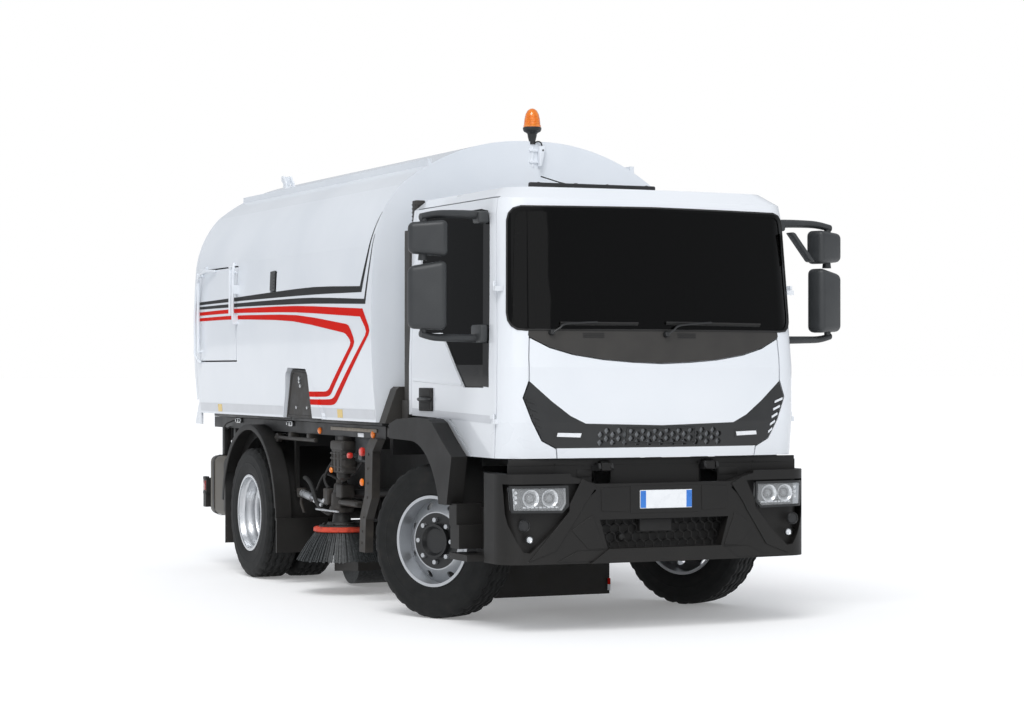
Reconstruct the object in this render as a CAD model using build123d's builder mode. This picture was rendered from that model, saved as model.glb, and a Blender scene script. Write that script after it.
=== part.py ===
"""Street sweeper truck: a two-axle truck with a tilting cab, a tipping hopper and brushes under it.

Millimetres. X runs across (+X is the truck's left), the truck faces -Y, Z is up from the ground.
A place along the truck is written as its distance back from the front face; at() turns it into Y.
"""

import os
from math import cos, hypot, radians, sin

from build123d import *

os.makedirs("parts", exist_ok=True)

# ---- Driving dimensions -------------------------------------------------------------------

OVERALL_LENGTH = 6280.0
FRONT_Y = -OVERALL_LENGTH / 2

# Wheels: 22.5 inch rims with truck tyres, single in front and twin behind.
TYRE_R = 506.0
TYRE_WIDTH = 276.0
TYRE_SHOULDER = 34.0
BEAD_R = 287.0
RIM_FLANGE_R = 298.5
RIM_WIDTH = 236.0
RIM_WALL = 8.0
STUD_PCD = 275.0
STUD_COUNT = 8
FRONT_AXLE_BACK = 1380.0
WHEELBASE = 3330.0
REAR_AXLE_BACK = FRONT_AXLE_BACK + WHEELBASE
FRONT_TRACK_HALF = 985.0
REAR_TRACK_HALF = 915.0
TWIN_SPACING = 312.0

# Steering: both wheels stand turned to the truck's left.
STEER_REST = 28.0
KINGPIN_HALF = 800.0
KINGPIN_R = 32.0
STEER_ARM = 200.0
TIE_ROD_Z = 452.0
TIE_ROD_R = 17.0

# Frame: two channel rails, with the body's own rails on top.
RAIL_OUTER = 430.0
RAIL_WIDTH = 70.0
RAIL_WALL = 9.0
RAIL_BOTTOM = 680.0
RAIL_TOP = 920.0
RAIL_FRONT_BACK = 340.0
RAIL_REAR_BACK = 6020.0
BODY_RAIL_TOP = 1130.0
SIDE_BEAM_INNER = 1000.0
SIDE_BEAM_OUTER = 1085.0
SIDE_BEAM_TOP = 1236.0
SIDE_BEAM_BOTTOM = 1150.0
SIDE_BEAM_FRONT_BACK = 2040.0

# Cab.
CAB_WALL = 50.0
CAB_SKIN = 28.0
CAB_BOTTOM = 1078.0
CAB_REAR_BACK = 1700.0
CAB_HALF = 1050.0
CAB_TILT_BACK = 120.0
CAB_TILT_Z = 1020.0
CAB_PIN_R = 14.0
PANEL_GAP = 8.0
GLASS = 6.0

# Hopper: one arch section, straight from front to rear.
HOPPER_FRONT_BACK = 2000.0
HOPPER_LENGTH = 4130.0
HOPPER_BOTTOM = 1266.0
HOPPER_WALL = 45.0
HOPPER_TOP = 3222.0
TIP_BACK = 5950.0
TIP_Z = 1180.0
REAR_DOOR = 60.0
# The side beams end close behind the tipping axis, so the hopper's floor turns clear of them.
SIDE_BEAM_REAR_BACK = TIP_BACK + 50.0

# Bumper.
BUMPER_HALF = 1080.0
BUMPER_TOP = 985.0
BUMPER_BOTTOM = 432.0
BUMPER_WALL = 70.0
BUMPER_WRAP_BACK = 370.0

# Sweeping gear.
BRUSH_BACK = 3150.0
BRUSH_HALF = 1000.0
BRUSH_R = 330.0
BRUSH_RING_R = 195.0
BRUSH_PLATE_Z = 500.0
BRUSH_TIP_Z = 240.0
ARM_PIVOT_BACK = 2700.0
ARM_PIVOT_HALF = 620.0
ARM_PIN_R = 20.0
BRUSH_SHAFT_R = 22.0
ROLLER_BACK = 3726.0
ROLLER_R = 222.0
ROLLER_SHAFT_R = 30.0
ROLLER_Z = 236.0
ROLLER_HALF = 720.0
FIT_GAP = 0.3
PIN_PLAY = 0.05

SIDES = (-1, 1)
SIDE_NAMES = {-1: "right", 1: "left"}


def at(back):
    """The Y of a place given by its distance behind the front face."""
    return FRONT_Y + back


def sided(side, low, high):
    """A span across the truck on one side, given by its distances from the middle."""
    return tuple(sorted((side * low, side * high)))


def block(across, back, up, mode=Mode.ADD):
    """A box given by its limits across the truck, back from the front face and up."""
    size = [high - low for low, high in (across, back, up)]
    middle = [(low + high) / 2 for low, high in (across, back, up)]
    with Locations((middle[0], at(middle[1]), middle[2])):
        Box(*size, mode=mode)


def slab(outline, across, mode=Mode.ADD, grow=0.0):
    """A side outline of (back, z) points, pushed across the truck between two X."""
    with BuildSketch(Plane.YZ.offset(across[0])) as face:
        with BuildLine():
            Polyline(*[(at(back), z) for back, z in outline], close=True)
        make_face()
        if grow:
            offset(amount=grow, kind=Kind.INTERSECTION)
    extrude(face.sketch, amount=across[1] - across[0], mode=mode)


def front_slab(outline, back, mode=Mode.ADD, grow=0.0):
    """A front outline of (x, z) points, pushed rearward between two distances."""
    with BuildSketch(Plane.XZ.offset(-at(back[0]))) as face:
        with BuildLine():
            Polyline(*outline, close=True)
        make_face()
        if grow:
            offset(amount=grow, kind=Kind.INTERSECTION)
    extrude(face.sketch, amount=back[0] - back[1], mode=mode)


def rod(start, end, radius, mode=Mode.ADD):
    """A round bar between two points given as (x, back, z)."""
    foot = Vector(start[0], at(start[1]), start[2])
    tip = Vector(end[0], at(end[1]), end[2])
    with BuildSketch(Plane(origin=foot, z_dir=tip - foot)) as face:
        Circle(radius)
    extrude(face.sketch, amount=(tip - foot).length, mode=mode)


def save(piece, name):
    """Labels a finished piece and writes it as its own file."""
    piece.part.label = name
    export_step(piece.part, f"parts/{name}.step")


def whole(half):
    """A whole front outline from one half, both ends of which are on the middle line."""
    return half + [(-x, z) for x, z in reversed(half[1:-1])]


# ---- Wheels -------------------------------------------------------------------------------


def wheel_frame(side, steered=True):
    """Where a wheel stands: X along its axis to the outside, Y upright."""
    if not steered:
        return Plane(
            origin=(side * REAR_TRACK_HALF, at(REAR_AXLE_BACK), TYRE_R),
            x_dir=(side, 0, 0),
            z_dir=(0, -side, 0),
        )
    turn = radians(STEER_REST)
    out = Vector(side * cos(turn), side * sin(turn), 0)
    kingpin = Vector(side * KINGPIN_HALF, at(FRONT_AXLE_BACK), TYRE_R)
    centre = kingpin + out * (FRONT_TRACK_HALF - KINGPIN_HALF)
    return Plane(origin=centre, x_dir=out, z_dir=out.cross(Vector(0, 0, 1)))


def turned(frame, profile, mode=Mode.ADD):
    """A ring or disc: (along the wheel axis, radius) points turned about that axis."""
    with BuildSketch(frame) as face:
        with BuildLine():
            Polyline(*profile, close=True)
        make_face()
    revolve(face.sketch, axis=Axis(frame.origin, frame.x_dir), mode=mode)


def tyre(frame, shift):
    """One tyre, its middle moved along the wheel's axis by shift."""
    half = TYRE_WIDTH / 2
    low = half - 18
    turned(
        frame,
        [
            (shift - RIM_WIDTH / 2, BEAD_R),
            (shift - low, RIM_FLANGE_R + 4),
            (shift - half, RIM_FLANGE_R + 80),
            (shift - half + 4, TYRE_R - TYRE_SHOULDER - 20),
            (shift - half + TYRE_SHOULDER / 2, TYRE_R - TYRE_SHOULDER / 3),
            (shift - half + TYRE_SHOULDER, TYRE_R - 2),
            (shift - half / 3, TYRE_R),
            (shift + half / 3, TYRE_R),
            (shift + half - TYRE_SHOULDER, TYRE_R - 2),
            (shift + half - TYRE_SHOULDER / 2, TYRE_R - TYRE_SHOULDER / 3),
            (shift + half - 4, TYRE_R - TYRE_SHOULDER - 20),
            (shift + half, RIM_FLANGE_R + 80),
            (shift + low, RIM_FLANGE_R + 4),
            (shift + RIM_WIDTH / 2, BEAD_R),
        ],
    )


def rim_barrel(frame, shift):
    """One rim's barrel with its two flanges."""
    bead = RIM_WIDTH / 2 + FIT_GAP
    edge = bead + 2 + RIM_WALL
    inner = BEAD_R - FIT_GAP - RIM_WALL
    turned(
        frame,
        [
            (shift - edge, inner),
            (shift - edge, RIM_FLANGE_R),
            (shift - bead - 2, RIM_FLANGE_R),
            (shift - bead, BEAD_R - FIT_GAP),
            (shift + bead, BEAD_R - FIT_GAP),
            (shift + bead + 2, RIM_FLANGE_R),
            (shift + edge, RIM_FLANGE_R),
            (shift + edge, inner),
        ],
    )


DISC_R = 190.0
BORE_R = 110.0
DISC = 12.0
FRONT_FACE = 78.0
BARREL_R = BEAD_R - FIT_GAP - RIM_WALL
HUB_R = BORE_R - FIT_GAP
NUT_R = 16.0
NUT_LENGTH = 28.0
HAND_HOLE_R = 24.0
HAND_HOLES = 8
SPINDLE_R = 60.0
AXLE_END_R = 56.0


def stud_nuts(frame, face):
    """The wheel nuts standing on a disc's face."""
    with BuildSketch(Plane(origin=frame.origin + frame.x_dir * face, z_dir=frame.x_dir)) as nuts:
        with PolarLocations(STUD_PCD / 2, STUD_COUNT):
            RegularPolygon(NUT_R, 6)
    extrude(nuts.sketch, amount=NUT_LENGTH)


def hand_holes(frame, reach):
    """Round holes through a disc's cone."""
    with BuildSketch(Plane(origin=frame.origin, z_dir=frame.x_dir)) as holes:
        with PolarLocations((DISC_R + BARREL_R) / 2 + 4, HAND_HOLES, start_angle=180 / HAND_HOLES):
            Circle(HAND_HOLE_R)
    extrude(holes.sketch, amount=reach, both=True, mode=Mode.SUBTRACT)


for side in SIDES:
    frame = wheel_frame(side)
    with BuildPart() as front_tyre:
        tyre(frame, 0)
    save(front_tyre, f"tyre_front_{SIDE_NAMES[side]}")

    with BuildPart() as front_rim:
        turned(
            frame,
            [
                (FRONT_FACE, BORE_R),
                (FRONT_FACE, DISC_R),
                (2, BARREL_R + 1),
                (2 - DISC, BARREL_R + 1),
                (FRONT_FACE - DISC, DISC_R - 6),
                (FRONT_FACE - DISC, BORE_R),
            ],
        )
        hand_holes(frame, 200)
        rim_barrel(frame, 0)
        stud_nuts(frame, FRONT_FACE - 1)
        cap = FRONT_FACE + 34
        turned(
            frame,
            [
                (-18.7, SPINDLE_R + FIT_GAP),
                (-18.7, BORE_R + 2),
                (cap, BORE_R + 2),
                (cap, BORE_R - 14),
                (cap - 24, BORE_R - 30),
                (cap - 24, 0),
                (FRONT_FACE - 8, 0),
                (FRONT_FACE - 8, SPINDLE_R + FIT_GAP),
            ],
        )
    save(front_rim, f"rim_front_{SIDE_NAMES[side]}")

    frame = wheel_frame(side, steered=False)
    with BuildPart() as rear_tyres:
        tyre(frame, TWIN_SPACING / 2)
        tyre(frame, -TWIN_SPACING / 2)
    save(rear_tyres, f"tyres_rear_{SIDE_NAMES[side]}")

    with BuildPart() as rear_rims:
        for way in (1, -1):
            shift = way * TWIN_SPACING / 2
            turned(
                frame,
                [
                    (0, BORE_R),
                    (way * DISC, BORE_R),
                    (way * DISC, DISC_R - 6),
                    (way * (DISC + 62), BARREL_R + 1),
                    (way * 62, BARREL_R + 1),
                    (0, DISC_R),
                ],
            )
        hand_holes(frame, 90)
        for way in (1, -1):
            rim_barrel(frame, way * TWIN_SPACING / 2)
        stud_nuts(frame, DISC - 1)
        bearing = AXLE_END_R + FIT_GAP
        turned(
            frame,
            [
                (-40, bearing),
                (-40, BORE_R + 2),
                (96, BORE_R + 2),
                (110, BORE_R - 24),
                (110, 0),
                (60, 0),
                (60, bearing),
            ],
        )
    save(rear_rims, f"rims_rear_{SIDE_NAMES[side]}")


# ---- Axles and steering -------------------------------------------------------------------

KNUCKLE_IN = FRONT_TRACK_HALF - KINGPIN_HALF
BEAM_Z = 470.0

with BuildPart() as front_axle:
    for side in SIDES:
        beam = (FRONT_AXLE_BACK - 45, FRONT_AXLE_BACK + 45)
        block(sided(side, 380, 700), beam, (BEAM_Z - 70, BEAM_Z + 30))
        with BuildSketch(Plane.XZ.offset(-at(FRONT_AXLE_BACK - 45))):
            with BuildLine():
                Polyline(
                    (side * 690, BEAM_Z - 70),
                    (side * 690, BEAM_Z + 30),
                    (side * (KINGPIN_HALF - 20), TYRE_R + 40),
                    (side * KINGPIN_HALF, TYRE_R + 40),
                    (side * KINGPIN_HALF, TYRE_R - 50),
                    (side * (KINGPIN_HALF - 66), TYRE_R - 50),
                    close=True,
                )
            make_face()
        extrude(amount=-90)
        with Locations((side * KINGPIN_HALF, at(FRONT_AXLE_BACK), TYRE_R - 5)):
            Cylinder(44, 90)
        with Locations((side * KINGPIN_HALF, at(FRONT_AXLE_BACK), TYRE_R)):
            Cylinder(KINGPIN_R + PIN_PLAY, 300, mode=Mode.SUBTRACT)
        # Leaf spring, its two eyes hung from the rail.
        for eye_back in (FRONT_AXLE_BACK - 760, FRONT_AXLE_BACK + 640):
            rod((side * 360, eye_back, 615), (side * 430, eye_back, 615), 28)
            block(sided(side, 362, 428), (eye_back - 30, eye_back + 30), (612, RAIL_BOTTOM))
        for leaf in range(3):
            slab(
                [
                    (FRONT_AXLE_BACK - 760 + 190 * leaf, 604 - 14 * leaf),
                    (FRONT_AXLE_BACK, 536 - 14 * leaf),
                    (FRONT_AXLE_BACK + 640 - 170 * leaf, 604 - 14 * leaf),
                    (FRONT_AXLE_BACK + 640 - 170 * leaf, 618 - 14 * leaf),
                    (FRONT_AXLE_BACK, 551 - 14 * leaf),
                    (FRONT_AXLE_BACK - 760 + 190 * leaf, 618 - 14 * leaf),
                ],
                sided(side, 365, 425),
            )
        block(sided(side, 355, 435), (FRONT_AXLE_BACK - 70, FRONT_AXLE_BACK + 70), (BEAM_Z + 28, 560))
    block((-390, 390), (FRONT_AXLE_BACK - 45, FRONT_AXLE_BACK + 45), (BEAM_Z - 90, BEAM_Z + 10))
save(front_axle, "front_axle")

DRUM_R = 205.0

with BuildPart() as rear_axle:
    for half, radius in ((REAR_TRACK_HALF + 50, AXLE_END_R), (560, 68)):
        rod((-half, REAR_AXLE_BACK, TYRE_R), (half, REAR_AXLE_BACK, TYRE_R), radius)
    with Locations((0, at(REAR_AXLE_BACK), TYRE_R)):
        Sphere(190)
    rod((0, REAR_AXLE_BACK, TYRE_R + 8), (0, REAR_AXLE_BACK - 290, TYRE_R + 20), 90)
    for side in SIDES:
        rod((side * 560, REAR_AXLE_BACK, TYRE_R), (side * 700, REAR_AXLE_BACK, TYRE_R), DRUM_R)
        for eye_back in (REAR_AXLE_BACK - 720, REAR_AXLE_BACK + 720):
            rod((side * 435, eye_back, 640), (side * 515, eye_back, 640), 30)
            block(sided(side, 432, 452), (eye_back - 60, eye_back + 60), (600, 800))
            block(sided(side, RAIL_OUTER, 436), (eye_back - 60, eye_back + 60), (RAIL_BOTTOM + 4, 800))
        for leaf in range(4):
            slab(
                [
                    (REAR_AXLE_BACK - 720 + 170 * leaf, 632 - 16 * leaf),
                    (REAR_AXLE_BACK, 602 - 16 * leaf),
                    (REAR_AXLE_BACK + 720 - 170 * leaf, 632 - 16 * leaf),
                    (REAR_AXLE_BACK + 720 - 170 * leaf, 648 - 16 * leaf),
                    (REAR_AXLE_BACK, 619 - 16 * leaf),
                    (REAR_AXLE_BACK - 720 + 170 * leaf, 648 - 16 * leaf),
                ],
                sided(side, 452, 514),
            )
        block(sided(side, 440, 526), (REAR_AXLE_BACK - 80, REAR_AXLE_BACK + 80), (TYRE_R, 640))
save(rear_axle, "rear_axle")


def steer_end(side):
    """Where a steering arm's ball stands at rest, as (x, back)."""
    turn = radians(STEER_REST)
    return (side * KINGPIN_HALF - STEER_ARM * sin(turn), FRONT_AXLE_BACK + STEER_ARM * cos(turn))


for side in SIDES:
    frame = wheel_frame(side)
    out = frame.x_dir
    kingpin = Vector(side * KINGPIN_HALF, at(FRONT_AXLE_BACK), TYRE_R)
    arm_x, arm_back = steer_end(side)
    with BuildPart() as knuckle:
        with Locations(kingpin):
            Cylinder(KINGPIN_R, 190)
        for foot, top in ((TYRE_R - 95, TYRE_R - 54), (TYRE_R + 44, TYRE_R + 95)):
            with BuildSketch(Plane.XY.offset(foot)):
                with Locations((kingpin.X, kingpin.Y)):
                    Circle(52)
            extrude(amount=top - foot)
        with BuildSketch(Plane(origin=kingpin + out * 48, x_dir=(0, 0, 1), z_dir=out)):
            Rectangle(190, 90)
        extrude(amount=22)
        with BuildSketch(Plane(origin=kingpin + out * 66, z_dir=out)):
            Circle(DRUM_R)
        extrude(amount=100)
        with BuildSketch(Plane(origin=kingpin + out * 160, z_dir=out)):
            Circle(SPINDLE_R)
        extrude(amount=KNUCKLE_IN + FRONT_FACE - 160 - 10)
        with BuildSketch(Plane.XY.offset(TIE_ROD_Z - 34)):
            with BuildLine():
                Polyline(
                    (kingpin.X - 30, kingpin.Y),
                    (kingpin.X + 30, kingpin.Y),
                    (arm_x + 24, at(arm_back)),
                    (arm_x - 24, at(arm_back)),
                    close=True,
                )
            make_face()
            with Locations((arm_x, at(arm_back))):
                Circle(26)
            with Locations((kingpin.X, kingpin.Y)):
                Circle(50)
        extrude(amount=14)
        with Locations((arm_x, at(arm_back), TIE_ROD_Z - 8)):
            Cylinder(11, 50)
    save(knuckle, f"knuckle_{SIDE_NAMES[side]}")

with BuildPart() as tie_rod:
    right_x, rod_back = steer_end(-1)
    left_x, rod_back = steer_end(1)
    rod((right_x + 20, rod_back, TIE_ROD_Z), (left_x - 20, rod_back, TIE_ROD_Z), TIE_ROD_R)
    for end_x in (right_x, left_x):
        with Locations((end_x, at(rod_back), TIE_ROD_Z)):
            Cylinder(24, 34)
        with Locations((end_x, at(rod_back), TIE_ROD_Z)):
            Cylinder(11.3, 60, mode=Mode.SUBTRACT)
save(tie_rod, "tie_rod")

# ---- Frame --------------------------------------------------------------------------------

RAIL_CROSS_BACKS = (390.0, 1990.0, 3300.0, 5560.0, 5985.0)
OUTRIGGER_BACKS = (2140.0, 3250.0, 4140.0, 5290.0, 5800.0)
RAIL_INNER = RAIL_OUTER - RAIL_WIDTH
RAIL_WEB = RAIL_OUTER - RAIL_WALL
HINGE_HALF = 600.0
HINGE_PIN_R = 28.0
HINGE_EAR = 30.0
CYL_HALF = 250.0
CYL_PIN_R = 20.0
CYL_BASE_BACK = 3400.0
CYL_BASE_Z = 720.0
CYL_EYE_BACK = 5100.0
CYL_EYE_Z = 1120.0
# The outline of one plate of a cab tilt bracket, as (back, z).
TILT_BRACKET = [
    (RAIL_FRONT_BACK, RAIL_TOP),
    (RAIL_FRONT_BACK, 990),
    (CAB_TILT_BACK - 8, 998),
    (CAB_TILT_BACK - 30, CAB_TILT_Z - 8),
    (CAB_TILT_BACK - 20, CAB_TILT_Z + 24),
    (CAB_TILT_BACK + 20, CAB_TILT_Z + 24),
    (560, 1000),
    (560, RAIL_TOP),
]

with BuildPart() as chassis_frame:
    for side in SIDES:
        block(sided(side, RAIL_INNER, RAIL_OUTER), (RAIL_FRONT_BACK, RAIL_REAR_BACK), (RAIL_BOTTOM, RAIL_TOP))
        block(
            sided(side, RAIL_INNER, RAIL_OUTER - RAIL_WALL),
            (RAIL_FRONT_BACK, RAIL_REAR_BACK),
            (RAIL_BOTTOM + RAIL_WALL, RAIL_TOP - RAIL_WALL),
            mode=Mode.SUBTRACT,
        )
        block(sided(side, RAIL_INNER, RAIL_OUTER), (2060, RAIL_REAR_BACK), (RAIL_TOP, BODY_RAIL_TOP))
        block(
            sided(side, SIDE_BEAM_INNER, SIDE_BEAM_OUTER),
            (SIDE_BEAM_FRONT_BACK, SIDE_BEAM_REAR_BACK),
            (SIDE_BEAM_BOTTOM, SIDE_BEAM_TOP),
        )
        # Tilt brackets at the front of the rails, their pin across the cab's foot.
        slab(TILT_BRACKET, sided(side, RAIL_OUTER - 24, RAIL_OUTER - 6))
        slab(TILT_BRACKET, sided(side, RAIL_INNER - 40, RAIL_INNER - 22))
        block(sided(side, RAIL_INNER - 40, RAIL_INNER + 4), (RAIL_FRONT_BACK, 560), (RAIL_TOP - 30, RAIL_TOP))
        pin_ends = [(side * edge, CAB_TILT_BACK, CAB_TILT_Z) for edge in (RAIL_INNER - 40, RAIL_OUTER - 6)]
        rod(pin_ends[0], pin_ends[1], CAB_PIN_R)
        # Tipping hinge: two ears at the rear of the body rail with the pin between them.
        for ear in (HINGE_HALF - 60, HINGE_HALF + 60 - HINGE_EAR):
            slab(
                [
                    (TIP_BACK - 150, 1060),
                    (TIP_BACK - 150, 1120),
                    (TIP_BACK - 34, TIP_Z + 34),
                    (TIP_BACK + 34, TIP_Z + 34),
                    (TIP_BACK + 60, 1060),
                ],
                sided(side, ear, ear + HINGE_EAR),
            )
        pin_ends = [(side * edge, TIP_BACK, TIP_Z) for edge in (HINGE_HALF - 60, HINGE_HALF + 60)]
        rod(pin_ends[0], pin_ends[1], HINGE_PIN_R)
        # Cylinder foot: an ear and its pin on the crossmember.
        slab(
            [
                (CYL_BASE_BACK - 50, CYL_BASE_Z - 30),
                (CYL_BASE_BACK - 74, CYL_BASE_Z + 40),
                (CYL_BASE_BACK - 74, CYL_BASE_Z + 120),
                (CYL_BASE_BACK + 14, CYL_BASE_Z + 25),
                (CYL_BASE_BACK + 26, CYL_BASE_Z - 20),
                (CYL_BASE_BACK + 26, CYL_BASE_Z - 30),
            ],
            sided(side, CYL_HALF + 38, CYL_HALF + 54),
        )
        pin_ends = [(side * edge, CYL_BASE_BACK, CYL_BASE_Z) for edge in (CYL_HALF - 30, CYL_HALF + 50)]
        rod(pin_ends[0], pin_ends[1], CYL_PIN_R)
        # Brush arm post beside the rail, held by a plate above and one below.
        for plate in ((792, 812), (690, 706)):
            block(
                sided(side, RAIL_OUTER, ARM_PIVOT_HALF + 40),
                (ARM_PIVOT_BACK - 50, ARM_PIVOT_BACK + 50),
                plate,
            )
        with Locations((side * ARM_PIVOT_HALF, at(ARM_PIVOT_BACK), 752)):
            Cylinder(ARM_PIN_R, 100)
    for cross in RAIL_CROSS_BACKS:
        block((-RAIL_WEB - 1, RAIL_WEB + 1), (cross - 30, cross + 30), (RAIL_TOP - 130, RAIL_TOP - 20))
    for cross in OUTRIGGER_BACKS:
        for side in SIDES:
            block(
                sided(side, RAIL_OUTER - 4, SIDE_BEAM_INNER + 4),
                (cross - 30, cross + 30),
                (1040, SIDE_BEAM_TOP - 70),
            )
save(chassis_frame, "frame")

with BuildPart() as engine:
    block((-290, 290), (780, 1600), (560, 1040))
    block((-180, 180), (1600, 1930), (560, 900))
    block((-300, 300), (430, 520), (470, 1000))
    block((-120, 120), (520, 780), (640, 860))
    for mount in (1000, 1480):
        block((-RAIL_WEB + 20, RAIL_WEB - 20), (mount, mount + 70), (RAIL_BOTTOM + RAIL_WALL + FIT_GAP, 750))
    rod((0, 1930, 720), (0, REAR_AXLE_BACK - 293, TYRE_R + 20), 42)
save(engine, "engine")

# ---- Cab shapes ---------------------------------------------------------------------------

# Level outlines of the cab from the bottom up: height, how far back the nose stands, half width,
# how much the nose bows forward in the middle, and which way wall thickness moves the level.
CAB_LEVELS = (
    (CAB_BOTTOM, 84.0, 1046.0, 60.0, 1),
    (1300.0, 54.0, CAB_HALF, 68.0, 0),
    (1640.0, 54.0, CAB_HALF, 68.0, 0),
    (2600.0, 150.0, 1022.0, 60.0, 0),
    (2690.0, 166.0, 1010.0, 58.0, -1),
    (2764.0, 262.0, 915.0, 50.0, -1),
)
CORNER_R = 165.0


def cab_loft(inset, mode=Mode.ADD):
    """The cab's body pulled in by inset on every side."""
    outlines = []
    for z, nose, half, bow, way in CAB_LEVELS:
        height = z + way * inset
        front = at(nose + inset)
        side_x = half - inset
        corner = max(CORNER_R - inset, 40)
        rear = at(CAB_REAR_BACK - inset)
        shoulder = front + bow
        with BuildSketch(Plane.XY.offset(height)) as outline:
            with BuildLine():
                ThreePointArc((corner - side_x, shoulder), (0, front), (side_x - corner, shoulder))
                ThreePointArc(
                    (side_x - corner, shoulder),
                    (side_x - corner * 0.29, shoulder + corner * 0.33),
                    (side_x, shoulder + corner),
                )
                Line((side_x, shoulder + corner), (side_x, rear))
                Line((side_x, rear), (-side_x, rear))
                Line((-side_x, rear), (-side_x, shoulder + corner))
                ThreePointArc(
                    (-side_x, shoulder + corner),
                    (corner * 0.29 - side_x, shoulder + corner * 0.33),
                    (corner - side_x, shoulder),
                )
            make_face()
        outlines.append(outline.sketch)
    loft(outlines, ruled=True, mode=mode)


ARCH_TOP = 1326.0
ARCH = [(962, 900), (962, CAB_BOTTOM), (1155, ARCH_TOP), (1800, ARCH_TOP), (1800, 900)]
ARCH_INSIDE = [(912, 900), (912, CAB_BOTTOM + CAB_WALL), (1122, 1410), (1800, 1410), (1800, 900)]
# The upper edge of the flare over the front wheel, as (back, z), and the door's rise above it.
FLARE_TOP = ((652, 1077), (815, 1176), (975, 1284), (1040, 1306), (1330, 1312), (1600, 1296), (1740, 1262))
FLARE_CLEAR = 20.0
DOOR_REAR_BACK = 1652.0
# The door's lower rear edge slopes all the way down, so its thick inner side swings clear of the sill.
DOOR = [
    (522, CAB_BOTTOM - 60),
    (292, CAB_BOTTOM - 60),
    (292, CAB_BOTTOM),
    (256, 1400),
    (256, 1680),
    (342, 2692),
    (DOOR_REAR_BACK, 2692),
    (DOOR_REAR_BACK, FLARE_TOP[4][1] + FLARE_CLEAR),
]
DOOR += [(back, z + FLARE_CLEAR) for back, z in reversed(FLARE_TOP[:5])]
WINDOW = [
    (446, 1512),
    (770, 1512),
    (1160, 1864),
    (1530, 1864),
    (1545, 2600),
    (1500, 2634),
    (540, 2634),
    (504, 2600),
]
# Right halves of the screen's glass and of the hole behind it, from the foot up.
SCREEN_EDGE = [
    (880, 1872),
    (930, 1880),
    (962, 1900),
    (980, 1932),
    (984, 1975),
    (950, 2550),
    (940, 2588),
    (915, 2612),
]
HOLE_EDGE = [(840, 1900), (890, 1910), (920, 1940), (928, 1985), (897, 2530), (880, 2570), (845, 2594)]
SCREEN = whole([(0, 1872)] + SCREEN_EDGE + [(880, 2622), (0, 2632)])
SCREEN_HOLE = whole([(0, 1900)] + HOLE_EDGE + [(0, 2602)])
# Front panels below the screen, right half from the middle out.
COWL_EDGE = [(0, 1667), (200, 1675), (400, 1691), (600, 1722), (750, 1765), (872, 1826)]
HOOD_SIDE = [(880, 1700), (880, 1560)]
GRILLE_TOP = [(880, 1552), (740, 1430), (620, 1340), (520, 1292), (0, 1278)]
GRILLE_SIDE = [(918, 1452), (862, 1310), (796, 1190), (700, 1140)]
GRILLE_FOOT = 1140.0
COWL = whole(COWL_EDGE + [(884, 1836), (880, 1866), (0, 1866)])
HOOD = whole([(x, z - PANEL_GAP) for x, z in COWL_EDGE] + HOOD_SIDE + GRILLE_TOP)
FOOT_STRIP = whole([(0, GRILLE_FOOT), GRILLE_SIDE[-1], (690, CAB_BOTTOM - 20), (0, CAB_BOTTOM - 20)])
GRILLE = whole(GRILLE_TOP[::-1] + GRILLE_SIDE + [(0, GRILLE_FOOT)])
NOSE = whole(COWL_EDGE + HOOD_SIDE + GRILLE_SIDE + [(690, CAB_BOTTOM - 20), (0, CAB_BOTTOM - 20)])
GLASS_DEPTH = 14.0
NOSE_DEPTH = 330.0

cab_core = {}
for inset in (
    0,
    CAB_WALL,
    CAB_SKIN,
    CAB_SKIN + FIT_GAP,
    CAB_SKIN + PANEL_GAP,
    GLASS,
    GLASS + FIT_GAP,
    GLASS_DEPTH,
    GLASS_DEPTH + GLASS,
    CAB_WALL + FIT_GAP,
):
    with BuildPart() as core:
        cab_loft(inset)
    cab_core[inset] = core.part


def cut_front(outline, depth, back, grow=0.0):
    """What a front outline takes off the cab down to a depth below its surface."""
    with BuildPart() as tool:
        front_slab(outline, (-60, back), grow=grow)
        add(cab_core[depth], mode=Mode.SUBTRACT)
    return tool.part


with BuildPart() as hollow:
    add(cab_core[CAB_WALL])
    slab(ARCH_INSIDE, (-1200, 1200), mode=Mode.SUBTRACT)

with BuildPart() as cab_wall:
    add(cab_core[0])
    slab(ARCH, (-1200, 1200), mode=Mode.SUBTRACT)
    add(hollow.part, mode=Mode.SUBTRACT)

DOOR_INNER = 958.0
DOOR_HINGE_HALF = 1058.0
DOOR_HINGE_BACK = 268.0
# Door hinges: height of the foot, and how far out the body's surface stands there.
HINGES = ((1290.0, 1046.0), (2110.0, 1018.0))
HOOD_REST_BACK = 87.6


def hinge_half(side, foot, surface, way):
    """One half of a door hinge: its knuckle and the strap to the body's surface."""
    knuckle = (side * DOOR_HINGE_HALF, DOOR_HINGE_BACK)
    rod((*knuckle, foot), (*knuckle, foot + 30), 7)
    edge = DOOR_HINGE_BACK + (50 if way > 0 else -30)
    tip = edge - way * 18
    up = (foot, foot + 30)
    block(sided(side, surface, DOOR_HINGE_HALF + 4), sorted((tip, edge)), up)
    block(sided(side, DOOR_HINGE_HALF - 7, DOOR_HINGE_HALF + 4), sorted((DOOR_HINGE_BACK, edge)), up)


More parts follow.
